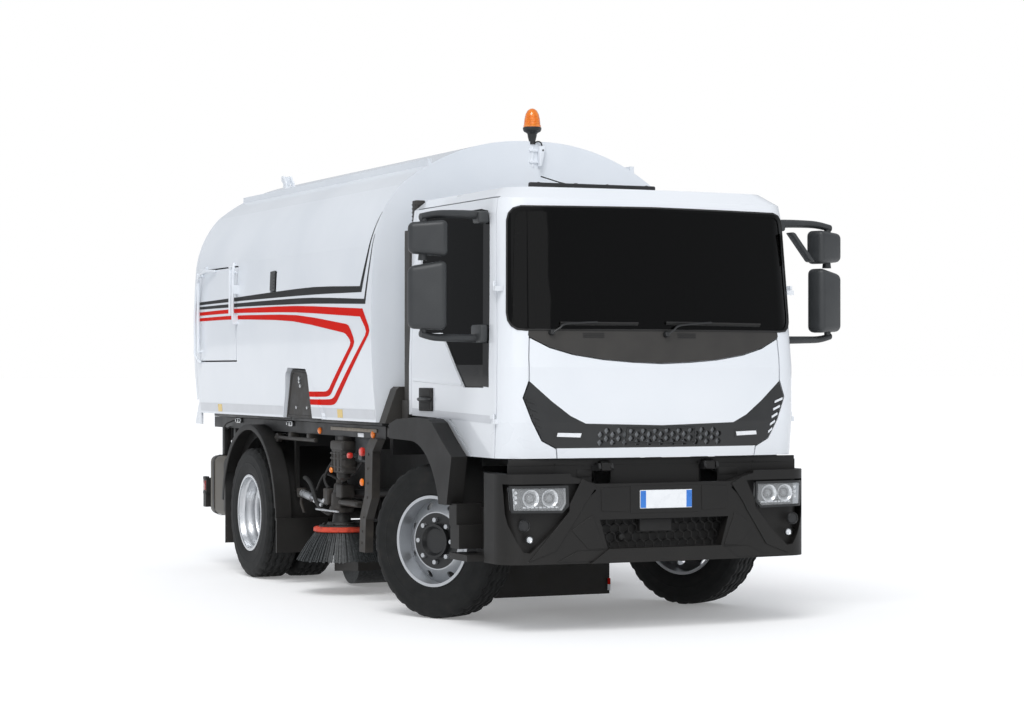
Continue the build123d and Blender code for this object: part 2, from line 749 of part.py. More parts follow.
with BuildPart() as cab_shell:
    add(cab_wall.part)
    for side in SIDES:
        slab(DOOR, sided(side, DOOR_INNER - PANEL_GAP, 1300), mode=Mode.SUBTRACT, grow=PANEL_GAP)
    front_slab(SCREEN_HOLE, (-60, 400), mode=Mode.SUBTRACT)
    add(cut_front(SCREEN, GLASS + FIT_GAP, NOSE_DEPTH, FIT_GAP), mode=Mode.SUBTRACT)
    add(cut_front(COWL, CAB_SKIN + FIT_GAP, NOSE_DEPTH, FIT_GAP), mode=Mode.SUBTRACT)
    add(cut_front(NOSE, CAB_SKIN + PANEL_GAP, 200, PANEL_GAP), mode=Mode.SUBTRACT)
    # Tilt lugs under the front of the floor, around the brackets' pin.
    for side in SIDES:
        slab(
            [
                (CAB_TILT_BACK - 20, CAB_TILT_Z - 18),
                (CAB_TILT_BACK - 20, CAB_TILT_Z + 20),
                (202, CAB_BOTTOM - 18),
                (212, CAB_BOTTOM + 20),
                (300, CAB_BOTTOM + 20),
                (300, CAB_BOTTOM - 18),
                (CAB_TILT_BACK + 24, CAB_TILT_Z - 18),
            ],
            sided(side, RAIL_INNER - 12, RAIL_OUTER - 34),
        )
        tilt_pin = [(side * edge, CAB_TILT_BACK, CAB_TILT_Z) for edge in (RAIL_INNER - 20, RAIL_OUTER)]
        rod(tilt_pin[0], tilt_pin[1], CAB_PIN_R + PIN_PLAY, mode=Mode.SUBTRACT)
        # Buffers that the closed hood rests on.
        rod((side * 600, 150, 1500), (side * 600, CAB_SKIN + HOOD_REST_BACK, 1500), 18)
        # Door hinge knuckles, the lower half of each.
        for foot, strap in HINGES:
            hinge_half(side, foot, strap - 10, -1)
save(cab_shell, "cab_shell")

with BuildPart() as windscreen:
    add(cab_core[0])
    add(cab_core[GLASS], mode=Mode.SUBTRACT)
    front_slab(SCREEN, (-60, NOSE_DEPTH), mode=Mode.INTERSECT)
save(windscreen, "windscreen")


def skin_panel(*outlines, back=NOSE_DEPTH):
    """Panels cut from the cab's outer skin by front outlines."""
    with BuildPart() as shapes:
        for outline in outlines:
            front_slab(outline, (-60, back))
    add(cab_core[0])
    slab([(0, 900), (0, 2900), (back, 2900), (back, 900)], (-1200, 1200), mode=Mode.INTERSECT)
    add(cab_core[CAB_SKIN], mode=Mode.SUBTRACT)
    add(shapes.part, mode=Mode.INTERSECT)


with BuildPart() as hood:
    skin_panel(HOOD, FOOT_STRIP, back=190.0)
save(hood, "hood")

with BuildPart() as grille:
    skin_panel(GRILLE, back=280.0)
    with BuildSketch(Plane.XZ.offset(-at(0))) as mesh:
        with Locations((0, (GRILLE_FOOT + 1278) / 2)):
            with HexLocations(24, 21, 2):
                RegularPolygon(21, 6)
    extrude(mesh.sketch, amount=-300, mode=Mode.SUBTRACT)
save(grille, "grille")

with BuildPart() as cab_trim:
    skin_panel(COWL)
    # Roof strip and its rod aerial, in front of the hopper.
    block((-640, 70), (372, 398), (2764, 2772))
    rod((-600, 385, 2770), (-420, 520, 2800), 5)
    # Upright air intake on the right rear corner of the cab.
    block((-1046, -960), (CAB_REAR_BACK + FIT_GAP, 1790), (1370, 2560))
    block((-1060, -850), (CAB_REAR_BACK + FIT_GAP, 1800), (1290, 1420))
save(cab_trim, "cab_trim")

SEAT_HALF = 480.0

with BuildPart() as seats:
    for side in SIDES:
        across = sided(side, SEAT_HALF - 250, SEAT_HALF + 250)
        foot = ARCH_INSIDE[2][1] + FIT_GAP
        block(sided(side, SEAT_HALF - 180, SEAT_HALF + 180), (1130, 1500), (foot, 1540))
        slab([(960, 1540), (940, 1600), (960, 1640), (1440, 1660), (1440, 1540)], across)
        slab([(1380, 1600), (1480, 2260), (1560, 2260), (1520, 1600)], across)
        head = sided(side, SEAT_HALF - 130, SEAT_HALF + 130)
        slab([(1500, 2200), (1516, 2420), (1590, 2420), (1580, 2200)], head)
save(seats, "seats")

# The steering wheel's middle, and the dashboard's side outline as (back, z).
WHEEL_CENTRE = (SEAT_HALF, 730.0, 1860.0)
WHEEL_R = 220.0
DASH = [
    (160, 1136),
    (160, 1800),
    (230, 1860),
    (420, 1850),
    (560, 1720),
    (560, 1560),
    (420, 1440),
    (380, 1136),
]

with BuildPart() as dashboard:
    slab(DASH, (-930, 930))
    rod((SEAT_HALF, 500, 1620), WHEEL_CENTRE, 34)
    spin = Vector(0, 230, 240).normalized()
    rim_plane = Plane(origin=(WHEEL_CENTRE[0], at(WHEEL_CENTRE[1]), WHEEL_CENTRE[2]), z_dir=spin)
    rim_edge = rim_plane.origin + rim_plane.x_dir * WHEEL_R
    with BuildSketch(Plane(origin=rim_edge, x_dir=rim_plane.x_dir, z_dir=rim_plane.y_dir)) as rim:
        Circle(16)
    revolve(rim.sketch, axis=Axis(rim_plane.origin, rim_plane.z_dir))
    with BuildSketch(rim_plane) as spokes:
        Rectangle(436, 34)
        with Locations((0, -105)):
            Rectangle(34, 212)
        Circle(66)
    extrude(spokes.sketch, amount=22, both=True)
    add(cab_core[CAB_WALL + FIT_GAP], mode=Mode.INTERSECT)
save(dashboard, "dashboard")

MIRROR_BACK = 455.0
MIRROR_ROUND = 28.0
# Mirror heads: inner edge outward of the cab, half depth, foot and top.
MIRROR_HEADS = ((250.0, 70.0, 2345.0, 2500.0), (260.0, 75.0, 1885.0, 2290.0))
# Mirror arms: inner end, outer end, half depth, foot and top.
MIRROR_ARMS = (
    (-26.4, 416.0, 26.0, 2552.0, 2600.0),
    (-26.0, 130.0, 44.0, 2540.0, 2606.0),
    (-4.6, 416.0, 24.0, 1806.0, 1860.0),
    (-4.1, 70.0, 80.0, 1790.0, 1905.0),
)

for side in SIDES:
    with BuildPart() as door:
        add(cab_wall.part)
        slab(DOOR, sided(side, DOOR_INNER, 1200), mode=Mode.INTERSECT)
        slab(WINDOW, sided(side, 900, 1200), mode=Mode.SUBTRACT)
        for foot, strap in HINGES:
            top = foot + 30 + FIT_GAP
            hinge_half(side, top, strap - 10, 1)
    save(door, f"door_{SIDE_NAMES[side]}")

    with BuildPart() as pane:
        add(cab_core[GLASS_DEPTH])
        add(cab_core[GLASS_DEPTH + GLASS], mode=Mode.SUBTRACT)
        slab(WINDOW, sided(side, 900, 1200), mode=Mode.INTERSECT, grow=-FIT_GAP)
    save(pane, f"door_glass_{SIDE_NAMES[side]}")

    with BuildPart() as mirrors:
        for inner, depth, foot, top in MIRROR_HEADS:
            block(
                sided(side, CAB_HALF + inner, CAB_HALF + 500),
                (MIRROR_BACK - depth, MIRROR_BACK + depth),
                (foot, top),
            )
        fillet(mirrors.edges(), MIRROR_ROUND)
        post = (side * (CAB_HALF + 400), MIRROR_BACK)
        rod((*post, 1830), (*post, 2590), 17)
        # Upper and lower arms, each out of a shroud on the door's frame.
        for inner, outer, depth, foot, top in MIRROR_ARMS:
            block(
                sided(side, CAB_HALF + inner, CAB_HALF + outer),
                (MIRROR_BACK - depth, MIRROR_BACK + depth),
                (foot, top),
            )
        # Door handle and its plate on the door's skin.
        block(sided(side, CAB_HALF + FIT_GAP, CAB_HALF + 14), (1268, 1498), (1353, 1505))
    save(mirrors, f"mirrors_{SIDE_NAMES[side]}")

# ---- Hopper -------------------------------------------------------------------------------

HOPPER_REAR_BACK = HOPPER_FRONT_BACK + HOPPER_LENGTH


def hopper_solid(back, inset=0.0, mode=Mode.ADD):
    """The hopper's arch section with a flat foot, pulled in by inset and pushed rearward."""
    with BuildSketch(Plane.XZ.offset(-at(back[0]))) as face:
        with BuildLine():
            Line((1172, HOPPER_BOTTOM), (-1172, HOPPER_BOTTOM))
            for side in SIDES:
                Line((side * 1172, HOPPER_BOTTOM), (side * 1178, 1354))
                ThreePointArc((side * 1178, 1354), (side * 1209, 1956), (side * 1188, 2474))
                ThreePointArc((side * 1188, 2474), (side * 1122, 2700), (side * 993, 2890))
                ThreePointArc((side * 993, 2890), (side * 530, 3146), (0, HOPPER_TOP))
        make_face()
        if inset:
            offset(amount=-inset, kind=Kind.INTERSECTION)
    extrude(face.sketch, amount=back[0] - back[1], mode=mode)


NOTCH = [(3030, 1200), (3060, 1300), (3330, 1570), (3380, 1630), (3780, 1640), (3830, 1600), (3930, 1200)]
HATCH = [(5030, 1700), (5030, 2440), (6010, 2440), (6010, 1700)]
HATCH_INNER = 1120.0
HATCH_AXIS = 1201.0
HATCH_AXIS_Z = 2452.0
HATCH_HINGES = (5110.0, 5870.0)
REAR_HINGE_HALF = 400.0
REAR_HINGE_BACK = 6165.0
REAR_HINGE_Z = 3250.0
REAR_PIN_R = 12.0
SLOT = ((4040, 4180), (2190, 2370))

with BuildPart() as hopper:
    hopper_solid((HOPPER_FRONT_BACK, HOPPER_REAR_BACK))
    room = (HOPPER_FRONT_BACK + HOPPER_WALL, HOPPER_REAR_BACK + 10)
    hopper_solid(room, inset=HOPPER_WALL, mode=Mode.SUBTRACT)
    for side in SIDES:
        slab(NOTCH, sided(side, 1010, 1190), mode=Mode.ADD, grow=12.0)
        slab(NOTCH, sided(side, 1040, 1300), mode=Mode.SUBTRACT)
        block(sided(side, 1000, 1300), (2900, 4100), (1100, HOPPER_BOTTOM), mode=Mode.SUBTRACT)
        # Tipping lugs on the hinge pins and cylinder lugs under the floor.
        for lug in (HINGE_HALF - 24, HINGE_HALF + 4):
            slab(
                [
                    (TIP_BACK - 60, HOPPER_BOTTOM + 5),
                    (TIP_BACK - 36, TIP_Z - 30),
                    (TIP_BACK + 36, TIP_Z - 30),
                    (TIP_BACK + 60, HOPPER_BOTTOM + 5),
                ],
                sided(side, lug, lug + 20),
            )
        pin_ends = [(side * edge, TIP_BACK, TIP_Z) for edge in (HINGE_HALF - 30, HINGE_HALF + 30)]
        rod(pin_ends[0], pin_ends[1], HINGE_PIN_R + PIN_PLAY, mode=Mode.SUBTRACT)
        slab(
            [
                (CYL_EYE_BACK - 90, HOPPER_BOTTOM + 5),
                (CYL_EYE_BACK - 36, CYL_EYE_Z - 36),
                (CYL_EYE_BACK + 36, CYL_EYE_Z - 36),
                (CYL_EYE_BACK + 90, HOPPER_BOTTOM + 5),
            ],
            sided(side, CYL_HALF - 70, CYL_HALF - 45),
        )
        # Roof rails along the whole length.
        block(sided(side, 765, 795), (HOPPER_FRONT_BACK, HOPPER_REAR_BACK), (3020, 3074))
        # Rear door hinge lugs with the pin between them.
        for lug in (REAR_HINGE_HALF - 40, REAR_HINGE_HALF + 24):
            slab(
                [
                    (HOPPER_REAR_BACK - 60, 3120),
                    (HOPPER_REAR_BACK - 60, 3210),
                    (REAR_HINGE_BACK - 20, REAR_HINGE_Z + 22),
                    (REAR_HINGE_BACK + 20, REAR_HINGE_Z + 22),
                    (REAR_HINGE_BACK + 20, REAR_HINGE_Z - 18),
                    (HOPPER_REAR_BACK, 3204),
                    (HOPPER_REAR_BACK, 3120),
                ],
                sided(side, lug, lug + 16),
            )
        pin_ends = [(side * (REAR_HINGE_HALF + way * 40), REAR_HINGE_BACK, REAR_HINGE_Z) for way in (-1, 1)]
        rod(pin_ends[0], pin_ends[1], REAR_PIN_R)
        # Cheek plates behind the foot, beside the rear door.
        slab(
            [
                (HOPPER_REAR_BACK - 20, 1380),
                (HOPPER_REAR_BACK + 30, 1380),
                (OVERALL_LENGTH, 1190),
                (OVERALL_LENGTH, 1172),
                (HOPPER_REAR_BACK - 20, 1172),
            ],
            sided(side, 1150, 1166),
        )
    slab(HATCH, (-1300, -HATCH_INNER), mode=Mode.SUBTRACT, grow=12.0)
    block((-1300, -1100), SLOT[0], SLOT[1], mode=Mode.SUBTRACT)
    for hinge in HATCH_HINGES:
        rod((-HATCH_AXIS, hinge, HATCH_AXIS_Z), (-HATCH_AXIS, hinge + 60, HATCH_AXIS_Z), 9)
        block((-HATCH_AXIS - 4, -HATCH_AXIS + 15), (hinge, hinge + 60), (HATCH_AXIS_Z, HATCH_AXIS_Z + 24))
save(hopper, "hopper")

with BuildPart() as hatch:
    hopper_solid((HATCH[0][0], HATCH[2][0]))
    hopper_solid((HATCH[0][0] - 10, HATCH[2][0] + 10), inset=HOPPER_WALL, mode=Mode.SUBTRACT)
    slab(HATCH, (-1300, -HATCH_INNER), mode=Mode.INTERSECT)
    for rail_back, foot in ((5080, 2060), (5960, 1760)):
        rod((-1240, rail_back, foot), (-1240, rail_back, 2420), 13)
        for end in (foot + 14, 2400):
            rod((-1190, rail_back, end), (-1240, rail_back, end), 11)
    for hinge in HATCH_HINGES:
        near = hinge + 60 + FIT_GAP
        rod((-HATCH_AXIS, near, HATCH_AXIS_Z), (-HATCH_AXIS, near + 60, HATCH_AXIS_Z), 9)
        block((-HATCH_AXIS - 4, -HATCH_AXIS + 15), (near, near + 60), (HATCH_AXIS_Z - 30, HATCH_AXIS_Z))
save(hatch, "hopper_hatch")

with BuildPart() as rear_door:
    hopper_solid((HOPPER_REAR_BACK + PANEL_GAP, HOPPER_REAR_BACK + REAR_DOOR))
    block((-1145, 1145), (HOPPER_REAR_BACK, OVERALL_LENGTH), (1200, 1290), mode=Mode.SUBTRACT)
    skin = HOPPER_REAR_BACK + REAR_DOOR
    for rib in (-700, 0, 700):
        block((rib - 40, rib + 40), (skin - 2, skin + 36), (1340, 2900))
    for side in SIDES:
        block(sided(side, 1140, 1180), (HOPPER_REAR_BACK, OVERALL_LENGTH), (1160, 1400), mode=Mode.SUBTRACT)
        slab(
            [
                (HOPPER_REAR_BACK + PANEL_GAP, 3120),
                (REAR_HINGE_BACK - 18, REAR_HINGE_Z + 18),
                (REAR_HINGE_BACK + 18, REAR_HINGE_Z + 18),
                (HOPPER_REAR_BACK + REAR_DOOR, 3120),
            ],
            sided(side, REAR_HINGE_HALF - 23, REAR_HINGE_HALF + 23),
        )
        pin_ends = [(side * (REAR_HINGE_HALF + way * 30), REAR_HINGE_BACK, REAR_HINGE_Z) for way in (-1, 1)]
        rod(pin_ends[0], pin_ends[1], REAR_PIN_R + PIN_PLAY, mode=Mode.SUBTRACT)
save(rear_door, "rear_door")

with BuildPart() as beacon:
    block((-60, 60), (1970, 1999.7), (2960, 3238))
    block((-60, 60), (1970, 2060), (3228, 3240))
    rod((0, 2010, 3238), (0, 2010, 3290), 20)
    with Locations((0, at(2010), 3302)):
        Cylinder(62, 34)
    with Locations((0, at(2010), 3382)):
        Cylinder(56, 126)
    with Locations((0, at(2010), 3449)):
        Cylinder(46, 16)
save(beacon, "beacon")

# ---- Tipping cylinders --------------------------------------------------------------------

CYL_LENGTH = hypot(CYL_EYE_BACK - CYL_BASE_BACK, CYL_EYE_Z - CYL_BASE_Z)
CYL_BARREL_LENGTH = 1420.0
CYL_BARREL_R = 58.0
CYL_ROD_R = 32.0


def along_cylinder(side, distance):
    """A point on a tipping cylinder's axis, as (x, back, z)."""
    share = distance / CYL_LENGTH
    back = CYL_BASE_BACK + share * (CYL_EYE_BACK - CYL_BASE_BACK)
    return (side * CYL_HALF, back, CYL_BASE_Z + share * (CYL_EYE_Z - CYL_BASE_Z))


for side in SIDES:
    with BuildPart() as barrel:
        rod(along_cylinder(side, 40), along_cylinder(side, CYL_BARREL_LENGTH), CYL_BARREL_R)
        eye = [(side * (CYL_HALF + way * 26), CYL_BASE_BACK, CYL_BASE_Z) for way in (-1, 1)]
        bore = [(side * (CYL_HALF + way * 40), CYL_BASE_BACK, CYL_BASE_Z) for way in (-1, 1)]
        rod(eye[0], eye[1], 46)
        rod(bore[0], bore[1], CYL_PIN_R + PIN_PLAY, mode=Mode.SUBTRACT)
        mouth = along_cylinder(side, CYL_BARREL_LENGTH + 10)
        rod(along_cylinder(side, 120), mouth, CYL_ROD_R + PIN_PLAY, mode=Mode.SUBTRACT)
    save(barrel, f"lift_barrel_{SIDE_NAMES[side]}")

    with BuildPart() as ram:
        rod(along_cylinder(side, 160), along_cylinder(side, CYL_LENGTH - 30), CYL_ROD_R)
        eye = [(side * (CYL_HALF + way * 26), CYL_EYE_BACK, CYL_EYE_Z) for way in (-1, 1)]
        rod(eye[0], eye[1], 40)
    save(ram, f"lift_ram_{SIDE_NAMES[side]}")

# ---- Sweeping gear ------------------------------------------------------------------------

MOTOR_R = 62.0

for side in SIDES:
    with BuildPart() as brush_arm:
        with Locations((side * ARM_PIVOT_HALF, at(ARM_PIVOT_BACK), 749)):
            Cylinder(44, 84)
        rod((side * ARM_PIVOT_HALF, ARM_PIVOT_BACK, 750), (side * BRUSH_HALF, BRUSH_BACK, 720), 30)
        with Locations((side * BRUSH_HALF, at(BRUSH_BACK), 668)):
            Cylinder(MOTOR_R, 170)
        with Locations((side * ARM_PIVOT_HALF, at(ARM_PIVOT_BACK), 752)):
            Cylinder(ARM_PIN_R + PIN_PLAY, 120, mode=Mode.SUBTRACT)
        with Locations((side * BRUSH_HALF, at(BRUSH_BACK), 600)):
            Cylinder(BRUSH_SHAFT_R + PIN_PLAY, 80, mode=Mode.SUBTRACT)
    save(brush_arm, f"brush_arm_{SIDE_NAMES[side]}")

    brush_plane = Plane(origin=(side * BRUSH_HALF, at(BRUSH_BACK), 0), x_dir=(1, 0, 0), z_dir=(0, -1, 0))
    with BuildPart() as side_brush:
        with BuildSketch(brush_plane) as section:
            with BuildLine():
                Polyline(
                    (0, BRUSH_PLATE_Z - 20),
                    (70, BRUSH_PLATE_Z - 20),
                    (BRUSH_R - 60, BRUSH_TIP_Z),
                    (BRUSH_R, BRUSH_TIP_Z),
                    (BRUSH_R, BRUSH_TIP_Z + 40),
                    (BRUSH_RING_R - 10, BRUSH_PLATE_Z - 18),
                    (BRUSH_RING_R, BRUSH_PLATE_Z - 14),
                    (BRUSH_RING_R, BRUSH_PLATE_Z + 22),
                    (BRUSH_RING_R - 22, BRUSH_PLATE_Z + 22),
                    (BRUSH_RING_R - 22, BRUSH_PLATE_Z),
                    (60, BRUSH_PLATE_Z),
                    (60, BRUSH_PLATE_Z + 50),
                    (BRUSH_SHAFT_R, BRUSH_PLATE_Z + 50),
                    (BRUSH_SHAFT_R, BRUSH_PLATE_Z + 116),
                    (0, BRUSH_PLATE_Z + 116),
                    close=True,
                )
            make_face()
        revolve(section.sketch, axis=Axis(brush_plane.origin, (0, 0, 1)))
    save(side_brush, f"side_brush_{SIDE_NAMES[side]}")

with BuildPart() as roller:
    rod((-ROLLER_HALF, ROLLER_BACK, ROLLER_Z), (ROLLER_HALF, ROLLER_BACK, ROLLER_Z), ROLLER_R)
    shaft = [(way * (ROLLER_HALF + 60), ROLLER_BACK, ROLLER_Z) for way in (-1, 1)]
    rod(shaft[0], shaft[1], ROLLER_SHAFT_R)
save(roller, "roller_brush")

HOOD_HALF = ROLLER_HALF + 34.0
HOOD_WALL = 8.0

with BuildPart() as brush_hood:
    front = ROLLER_BACK - ROLLER_R - 36
    rear = ROLLER_BACK + ROLLER_R + 36
    top = ROLLER_Z + ROLLER_R + 26
    slab(
        [(front, 130), (front, top - 90), (front + 90, top), (rear - 90, top), (rear, top - 90), (rear, 90)],
        (-HOOD_HALF, HOOD_HALF),
    )
    inside = [
        (front + HOOD_WALL, 0),
        (front + HOOD_WALL, top - 94),
        (front + 94, top - HOOD_WALL),
        (rear - 94, top - HOOD_WALL),
        (rear - HOOD_WALL, top - 94),
        (rear - HOOD_WALL, 0),
    ]
    slab(inside, (-HOOD_HALF + HOOD_WALL, HOOD_HALF - HOOD_WALL), mode=Mode.SUBTRACT)
    bore = [(way * (HOOD_HALF + 9), ROLLER_BACK, ROLLER_Z) for way in (-1, 1)]
    rod(bore[0], bore[1], ROLLER_SHAFT_R + PIN_PLAY, mode=Mode.SUBTRACT)
    for side in SIDES:
        for strut in (front + 60, rear - 60):
            block(
                sided(side, RAIL_OUTER - 50, RAIL_OUTER - 20),
                (strut - 20, strut + 20),
                (top - 60, RAIL_BOTTOM),
            )
save(brush_hood, "brush_hood")

with BuildPart() as conveyor:
    rear = ROLLER_BACK - ROLLER_R - 36 - FIT_GAP
    slab(
        [(3290, 150), (3290, 420), (2560, 1130), (2560, 1250), (2780, 1250), (rear, 560), (rear, 150)],
        (-350, -70),
    )
    duct = rear - 20
    slab(
        [(3310, 100), (3310, 400), (2580, 1140), (2580, 1300), (2760, 1300), (duct, 540), (duct, 100)],
        (-340, -80),
        mode=Mode.SUBTRACT,
    )
    block((-RAIL_INNER, -346), (3060, 3120), (700, 760))
save(conveyor, "conveyor")

# ---- Bumper, lamps and steps --------------------------------------------------------------

BUMPER_CORNER = 150.0


def bumper_plan(inset, height, amount, mode=Mode.ADD):
    """The bumper's level outline, bowed in front with round corners, pushed up."""
    half = BUMPER_HALF - inset
    corner = BUMPER_CORNER - inset
    front = at(8 + inset)
    shoulder = at(62 + inset)
    rear = at(BUMPER_WRAP_BACK)
    with BuildSketch(Plane.XY.offset(height)) as face:
        with BuildLine():
            ThreePointArc((corner - half, shoulder), (0, front), (half - corner, shoulder))
            for way in (1, -1):
                ThreePointArc(
                    (way * (half - corner), shoulder),
                    (way * (half - corner * 0.3), shoulder + corner * 0.3),
                    (way * half, shoulder + corner),
                )
            Line((half, shoulder + corner), (half, rear))
            Line((half, rear), (-half, rear))
            Line((-half, rear), (-half, shoulder + corner))
        make_face()
    extrude(face.sketch, amount=amount, mode=mode)


POCKET_DEPTH = 46.0
POCKET = [
    (1058, 925),
    (1048, 742),
    (1035, 675),
    (990, 572),
    (949, 508),
    (905, 502),
    (650, 735),
    (475, 880),
    (520, 925),
]
MOUTH = whole([(0, 700), (452, 700), (398, 519), (0, 519)])
LAMP = [(1020, 902), (1010, 762), (700, 758), (668, 800), (672, 902)]

# Dark panels behind the bumper's top, closing the view under the cab: across, up.
VALANCE_BACK = (150.0, 162.0)
VALANCE_TOP = 1050.0
VALANCE_SIDE = (446.0, 1014.0)
VALANCE_MIDDLE = 312.0
ARM_SPAN = (740.0, 860.0)

pockets = {}
for side in SIDES:
    with BuildPart() as pocket:
        front_slab([(side * x, z) for x, z in POCKET], (-60, 400))
        bumper_plan(POCKET_DEPTH, 400, 700, mode=Mode.SUBTRACT)
    pockets[side] = pocket.part

with BuildPart() as bumper:
    bumper_plan(0, BUMPER_BOTTOM, BUMPER_TOP - BUMPER_BOTTOM)
    bumper_plan(BUMPER_WALL, BUMPER_BOTTOM - 10, BUMPER_TOP - BUMPER_BOTTOM + 20, mode=Mode.SUBTRACT)
    front_slab(
        whole([(0, 920), (470, 920), (640, 968), (660, 1100), (0, 1100)]),
        (-60, 300),
        mode=Mode.SUBTRACT,
    )
    front_slab(MOUTH, (-60, 300), mode=Mode.SUBTRACT)
    for side in SIDES:
        add(pockets[side], mode=Mode.SUBTRACT)
        block(sided(side, RAIL_INNER, RAIL_OUTER), (80, RAIL_FRONT_BACK - FIT_GAP), ARM_SPAN)
        block(sided(side, *VALANCE_SIDE), VALANCE_BACK, (900, VALANCE_TOP))
    block((-VALANCE_MIDDLE, VALANCE_MIDDLE), VALANCE_BACK, (ARM_SPAN[1] - 20, VALANCE_TOP))
    block((-RAIL_INNER - 2, RAIL_INNER + 2), VALANCE_BACK, (ARM_SPAN[1] - 60, ARM_SPAN[1]))
    # Lip under the mouth.
    front_slab(whole([(0, 519), (398, 519), (520, BUMPER_BOTTOM), (0, BUMPER_BOTTOM)]), (0, 60))
save(bumper, "bumper")

with BuildPart() as lamps:
    for side in SIDES:
        front_slab([(side * x, z) for x, z in LAMP], (-60, 300))
        for lamp_x, lamp_z, lamp_r in ((946, 672, 28), (912, 586, 36)):
            rod((side * lamp_x, 30, lamp_z), (side * lamp_x, 300, lamp_z), lamp_r)
    bumper_plan(8, 400, 700, mode=Mode.INTERSECT)
    bumper_plan(POCKET_DEPTH - FIT_GAP, 400, 700, mode=Mode.SUBTRACT)
save(lamps, "headlamps")

FENDER_INNER = 1072.0
FENDER_LIP = 1180.0
FENDER_FOOT = 770.0

with BuildPart() as front_fenders:
    for side in SIDES:
        edge = [(at(back), z) for back, z in FLARE_TOP]
        with BuildSketch(Plane.YZ.offset(side * FENDER_INNER)) as flare:
            with BuildLine():
                Polyline((edge[-1][0], 1166), *edge[::-1], (at(732), FENDER_FOOT), (at(866), FENDER_FOOT))
                ThreePointArc((at(866), FENDER_FOOT), (at(1050), 1052), (at(1376), 1160))
                Line((at(1376), 1160), (edge[-1][0], 1166))
            make_face()
        extrude(flare.sketch, amount=side * (FENDER_LIP - FENDER_INNER))
        with BuildSketch(Plane.YZ.offset(side * 870)) as shell:
            with BuildLine():
                ThreePointArc((at(800), 775), (at(950), 1040), (at(FRONT_AXLE_BACK), TYRE_R + 652))
                Line((at(FRONT_AXLE_BACK), TYRE_R + 652), (at(1740), 1166))
                Line((at(1740), 1166), (at(1740), 1186))
                Line((at(1740), 1186), (at(FRONT_AXLE_BACK), TYRE_R + 672))
                ThreePointArc((at(FRONT_AXLE_BACK), TYRE_R + 672), (at(936), 1054), (at(780), 775))
                Line((at(780), 775), (at(800), 775))
            make_face()
        extrude(shell.sketch, amount=side * (1080 - 870))
        # Two treads hung below the fender's foot.
        across = sided(side, 950, 1150)
        block(across, (640, 760), (640, 780))
        block(across, (600, 740), (500, 650))
        block(across, (470, 760), (430, 470))
        block(sided(side, 950, 990), (400, 700), (440, 760))
        block(sided(side, RAIL_OUTER, 960), (640, 700), (690, 750))
save(front_fenders, "front_fenders")

# Rear fender arches: inner edge across, outer edge across, outer radius, inner radius.
REAR_ARCHES = ((640.0, 1090.0, 616.0, 594.0), (1088.0, 1100.0, 690.0, 594.0), (1090.0, 1210.0, 690.0, 668.0))
REAR_ARCH_ENDS = (182.0, 104.0, 26.0)


def arch_band(side, across, outer, inner):
    """A band of an arch over the rear wheels, between two radii."""
    rays = [(cos(radians(angle)), sin(radians(angle))) for angle in REAR_ARCH_ENDS]
    spots = [
        [(at(REAR_AXLE_BACK) + radius * run, TYRE_R + radius * rise) for run, rise in rays]
        for radius in (outer, inner)
    ]
    with BuildSketch(Plane.YZ.offset(side * across[0])) as band:
        with BuildLine():
            ThreePointArc(*spots[0])
            ThreePointArc(*spots[1])
            Line(spots[0][0], spots[1][0])
            Line(spots[0][2], spots[1][2])
        make_face()
    extrude(band.sketch, amount=side * (across[1] - across[0]))


with BuildPart() as rear_fenders:
    for side in SIDES:
        for low, high, outer, inner in REAR_ARCHES:
            arch_band(side, (low, high), outer, inner)
        block(sided(side, 800, 1210), (4004, 4026), (240, 500))
        block(sided(side, 1012, 1040), (4050, 4090), (700, SIDE_BEAM_BOTTOM - FIT_GAP))
        block(sided(side, 1012, 1040), (5200, 5240), (850, SIDE_BEAM_BOTTOM - FIT_GAP))
save(rear_fenders, "rear_fenders")

with BuildPart() as mud_flaps:
    for side in SIDES:
        block(sided(side, 800, 1200), (5330.4, 5338), (230, 812))
    block((-450, 420), (1640, 1648), (74, 430))
    for side in SIDES:
        block(sided(side, RAIL_INNER - 24, RAIL_INNER - FIT_GAP), (1630, 1660), (420, 760))
    block((-RAIL_INNER, RAIL_INNER), (1648, 1664), (400, 440))
save(mud_flaps, "mud_flaps")

with BuildPart() as side_tanks:
    for side in SIDES:
        with BuildSketch(Plane.YZ.offset(side * 760)) as tank:
            with Locations((at(5700), 650)):
                RectangleRounded(560, 520, 90)
        extrude(tank.sketch, amount=side * 380)
        for strap in (5520, 5860):
            block(sided(side, 740, 1150), (strap - 25, strap + 25), (380, 920))
            block(sided(side, 1020, 1060), (strap - 25, strap + 25), (900, SIDE_BEAM_BOTTOM - FIT_GAP))
save(side_tanks, "side_tanks")

with BuildPart() as equipment:
    for side in SIDES:
        block(sided(side, 1010, 1140), (2750, 3020), (840, 1120))
        block(sided(side, 1010, 1080), (2800, 2860), (1110, SIDE_BEAM_BOTTOM - FIT_GAP))
        rod((side * 1120, 3560, 1106), (side * 1120, 3990, 1106), 22)
        for clip in (3620, 3920):
            block(sided(side, 1040, 1124), (clip - 12, clip + 12), (1100, 1112))
            block(sided(side, 1040, 1060), (clip - 12, clip + 12), (1100, SIDE_BEAM_BOTTOM - FIT_GAP))
        slab([(2230, 350), (2330, 1130), (2390, 1130), (2290, 350)], sided(side, 1090, 1130))
        block(sided(side, 1050, 1094), (2330, 2380), (1090, SIDE_BEAM_BOTTOM - FIT_GAP))
save(equipment, "equipment")

